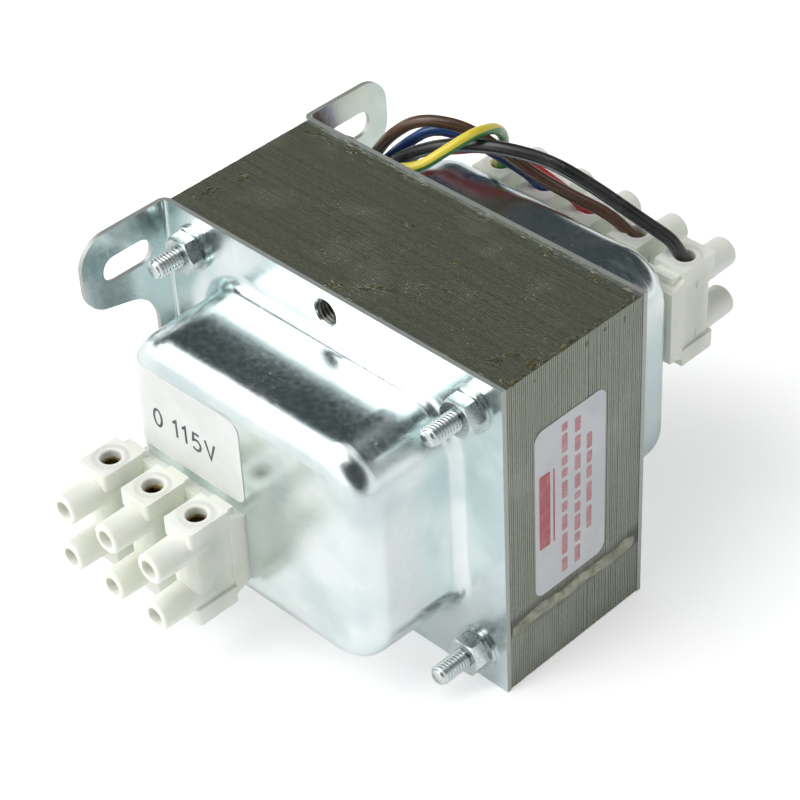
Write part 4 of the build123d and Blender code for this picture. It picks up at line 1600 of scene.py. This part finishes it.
@dataclass
class Studio:
    """The white floor, the soft lights, the sky that the metal reflects, and the camera."""

    azimuth: float = 46.56
    elevation: float = 39.165
    roll: float = -3.044
    distance: float = 0.474955
    target: tuple[float, float, float] = (-0.0017176, 0.0, 0.033644)
    lens: float = 114.08
    sky: Colour = (1.0, 1.0, 1.0)
    sky_strength: float = 1.0
    bright_side: Colour = (1.55, 1.55, 1.55)
    panel: Colour = (0.050, 0.060, 0.062)
    panel_turn: float = 20.0
    panel_sides: tuple[float, float] = (96.0, 78.0)
    panel_foot: tuple[float, float] = (7.0, 18.0)
    panel_top: tuple[float, float] = (60.0, 74.0)
    lens_spot: tuple[float, float] = (46.0, 31.0)
    bright_from: tuple[float, float] = (0.15, 0.75)
    lamp_place: tuple[float, float, float] = (-0.35, -0.50, 0.95)
    lamp_size: float = 1.0
    lamp_power: float = 7.4
    floor: FloorFinish = field(default_factory=FloorFinish)

    def build(self, shop: Workshop) -> None:
        """Set up the whole studio."""
        self._lay_floor(shop)
        self._hang_sky()
        self._light("overhead", self.lamp_place, self.lamp_size, self.lamp_power)
        self._place_camera()
        bpy.context.scene.view_settings.view_transform = "Standard"

    def _lay_floor(self, shop: Workshop) -> None:
        """Lay the floor under the object."""
        mesh = bmesh.new()
        low = CAD_BOX[0][2]
        reach = 2.0

        def point(row: int, column: int) -> Vector:
            """Give a point of the floor."""
            return Vector((reach * (row / 4 - 1), reach * (column / 4 - 1), low))

        grid(mesh, 9, 9, point)
        data = bpy.data.meshes.new("floor")
        mesh.to_mesh(data)
        mesh.free()
        data.materials.append(shop.material(self.floor))
        floor = bpy.data.objects.new("floor", data)
        bpy.context.scene.collection.objects.link(floor)
        log.info("laid the floor at %.5f", low)

    def _hang_sky(self) -> None:
        """Make a white sky, with two dark panels in it that only reflections show."""
        world = bpy.data.worlds.new("studio")
        world.use_nodes = True
        bpy.context.scene.world = world
        net = Net(world.node_tree)
        background = world.node_tree.nodes["Background"]
        direction = net.add("ShaderNodeTexCoord").outputs["Generated"]
        x, y, z = net.split(direction)
        away = math.radians(self.azimuth - self.panel_turn)
        across = net.math("MULTIPLY", x, -math.sin(away))
        ahead = net.math("ADD", across, net.math("MULTIPLY", y, math.cos(away)))
        flat = net.math("SQRT", net.math("ADD", net.math("POWER", x, 2.0), net.math("POWER", y, 2.0)))
        bearing = net.math("DIVIDE", ahead, net.math("ADD", flat, 0.001))
        wide = net.step(bearing, *(math.cos(math.radians(angle)) for angle in self.panel_sides))
        above = net.step(z, *(math.sin(math.radians(angle)) for angle in self.panel_foot))
        below = net.step(z, *(math.sin(math.radians(angle)) for angle in self.panel_top), 1.0, 0.0)
        shown = net.math("MULTIPLY", wide, net.math("MULTIPLY", above, below))
        toward = net.add(
            "ShaderNodeVectorMath",
            {0: direction, 1: tuple(self._back())},
            operation="DOT_PRODUCT",
        ).outputs["Value"]
        behind_lens = net.step(toward, *(math.cos(math.radians(angle)) for angle in self.lens_spot))
        leftward = net.math("MULTIPLY", net.math("ADD", x, y), -math.sqrt(0.5))
        soft = net.mix(net.step(leftward, *self.bright_from), self.sky, self.bright_side)
        colour = net.mix(net.math("MAXIMUM", shown, behind_lens), soft, self.panel)
        seen = net.add("ShaderNodeLightPath").outputs["Is Camera Ray"]
        net.feed(background.inputs["Color"], net.mix(seen, colour, self.sky))
        background.inputs["Strength"].default_value = self.sky_strength

    def _light(self, name: str, place: tuple[float, float, float], size: float, power: float) -> None:
        """Hang one soft light that faces the object.

        Args:
            name: Its name.
            place: Where it hangs, in metres.
            size: The side of its square, in metres.
            power: Its power in watts.
        """
        data = bpy.data.lights.new(name, "AREA")
        data.shape = "SQUARE"
        data.size = size
        data.energy = power
        lamp = bpy.data.objects.new(name, data)
        lamp.location = place
        lamp.rotation_euler = (Vector(self.target) - Vector(place)).to_track_quat("-Z", "Y").to_euler()
        bpy.context.scene.collection.objects.link(lamp)

    def _back(self) -> Vector:
        """Give the direction from the target to the camera."""
        turn, rise = math.radians(self.azimuth), math.radians(self.elevation)
        return Vector((math.sin(turn) * math.cos(rise), -math.cos(turn) * math.cos(rise), math.sin(rise)))

    def _place_camera(self) -> None:
        """Set the camera where the photograph was taken from."""
        tilt = math.radians(self.roll)
        back = self._back()
        level = (-back).cross(Vector((0, 0, 1))).normalized()
        over = level.cross(-back)
        right = math.cos(tilt) * level + math.sin(tilt) * over
        up = -math.sin(tilt) * level + math.cos(tilt) * over
        data = bpy.data.cameras.new("camera")
        data.lens = self.lens
        data.sensor_width = 36.0
        data.sensor_fit = "HORIZONTAL"
        data.clip_start = 0.01
        camera = bpy.data.objects.new("camera", data)
        place = Matrix((right, up, back)).transposed().to_4x4()
        place.translation = Vector(self.target) + back * self.distance
        camera.matrix_world = place
        bpy.context.scene.collection.objects.link(camera)
        bpy.context.scene.camera = camera


def main() -> None:
    """Build every sub-assembly in order, then the studio round it."""
    logging.basicConfig(level=logging.INFO, format="%(name)s: %(message)s")
    shop = Workshop()
    for part in (Core(), Coil(), Shrouds(), ClampBolts(), TerminalStrips(), Leads(), Labels(), Studio()):
        log.info("building %s", type(part).__name__)
        part.build(shop)


if __name__ == "__main__":
    main()
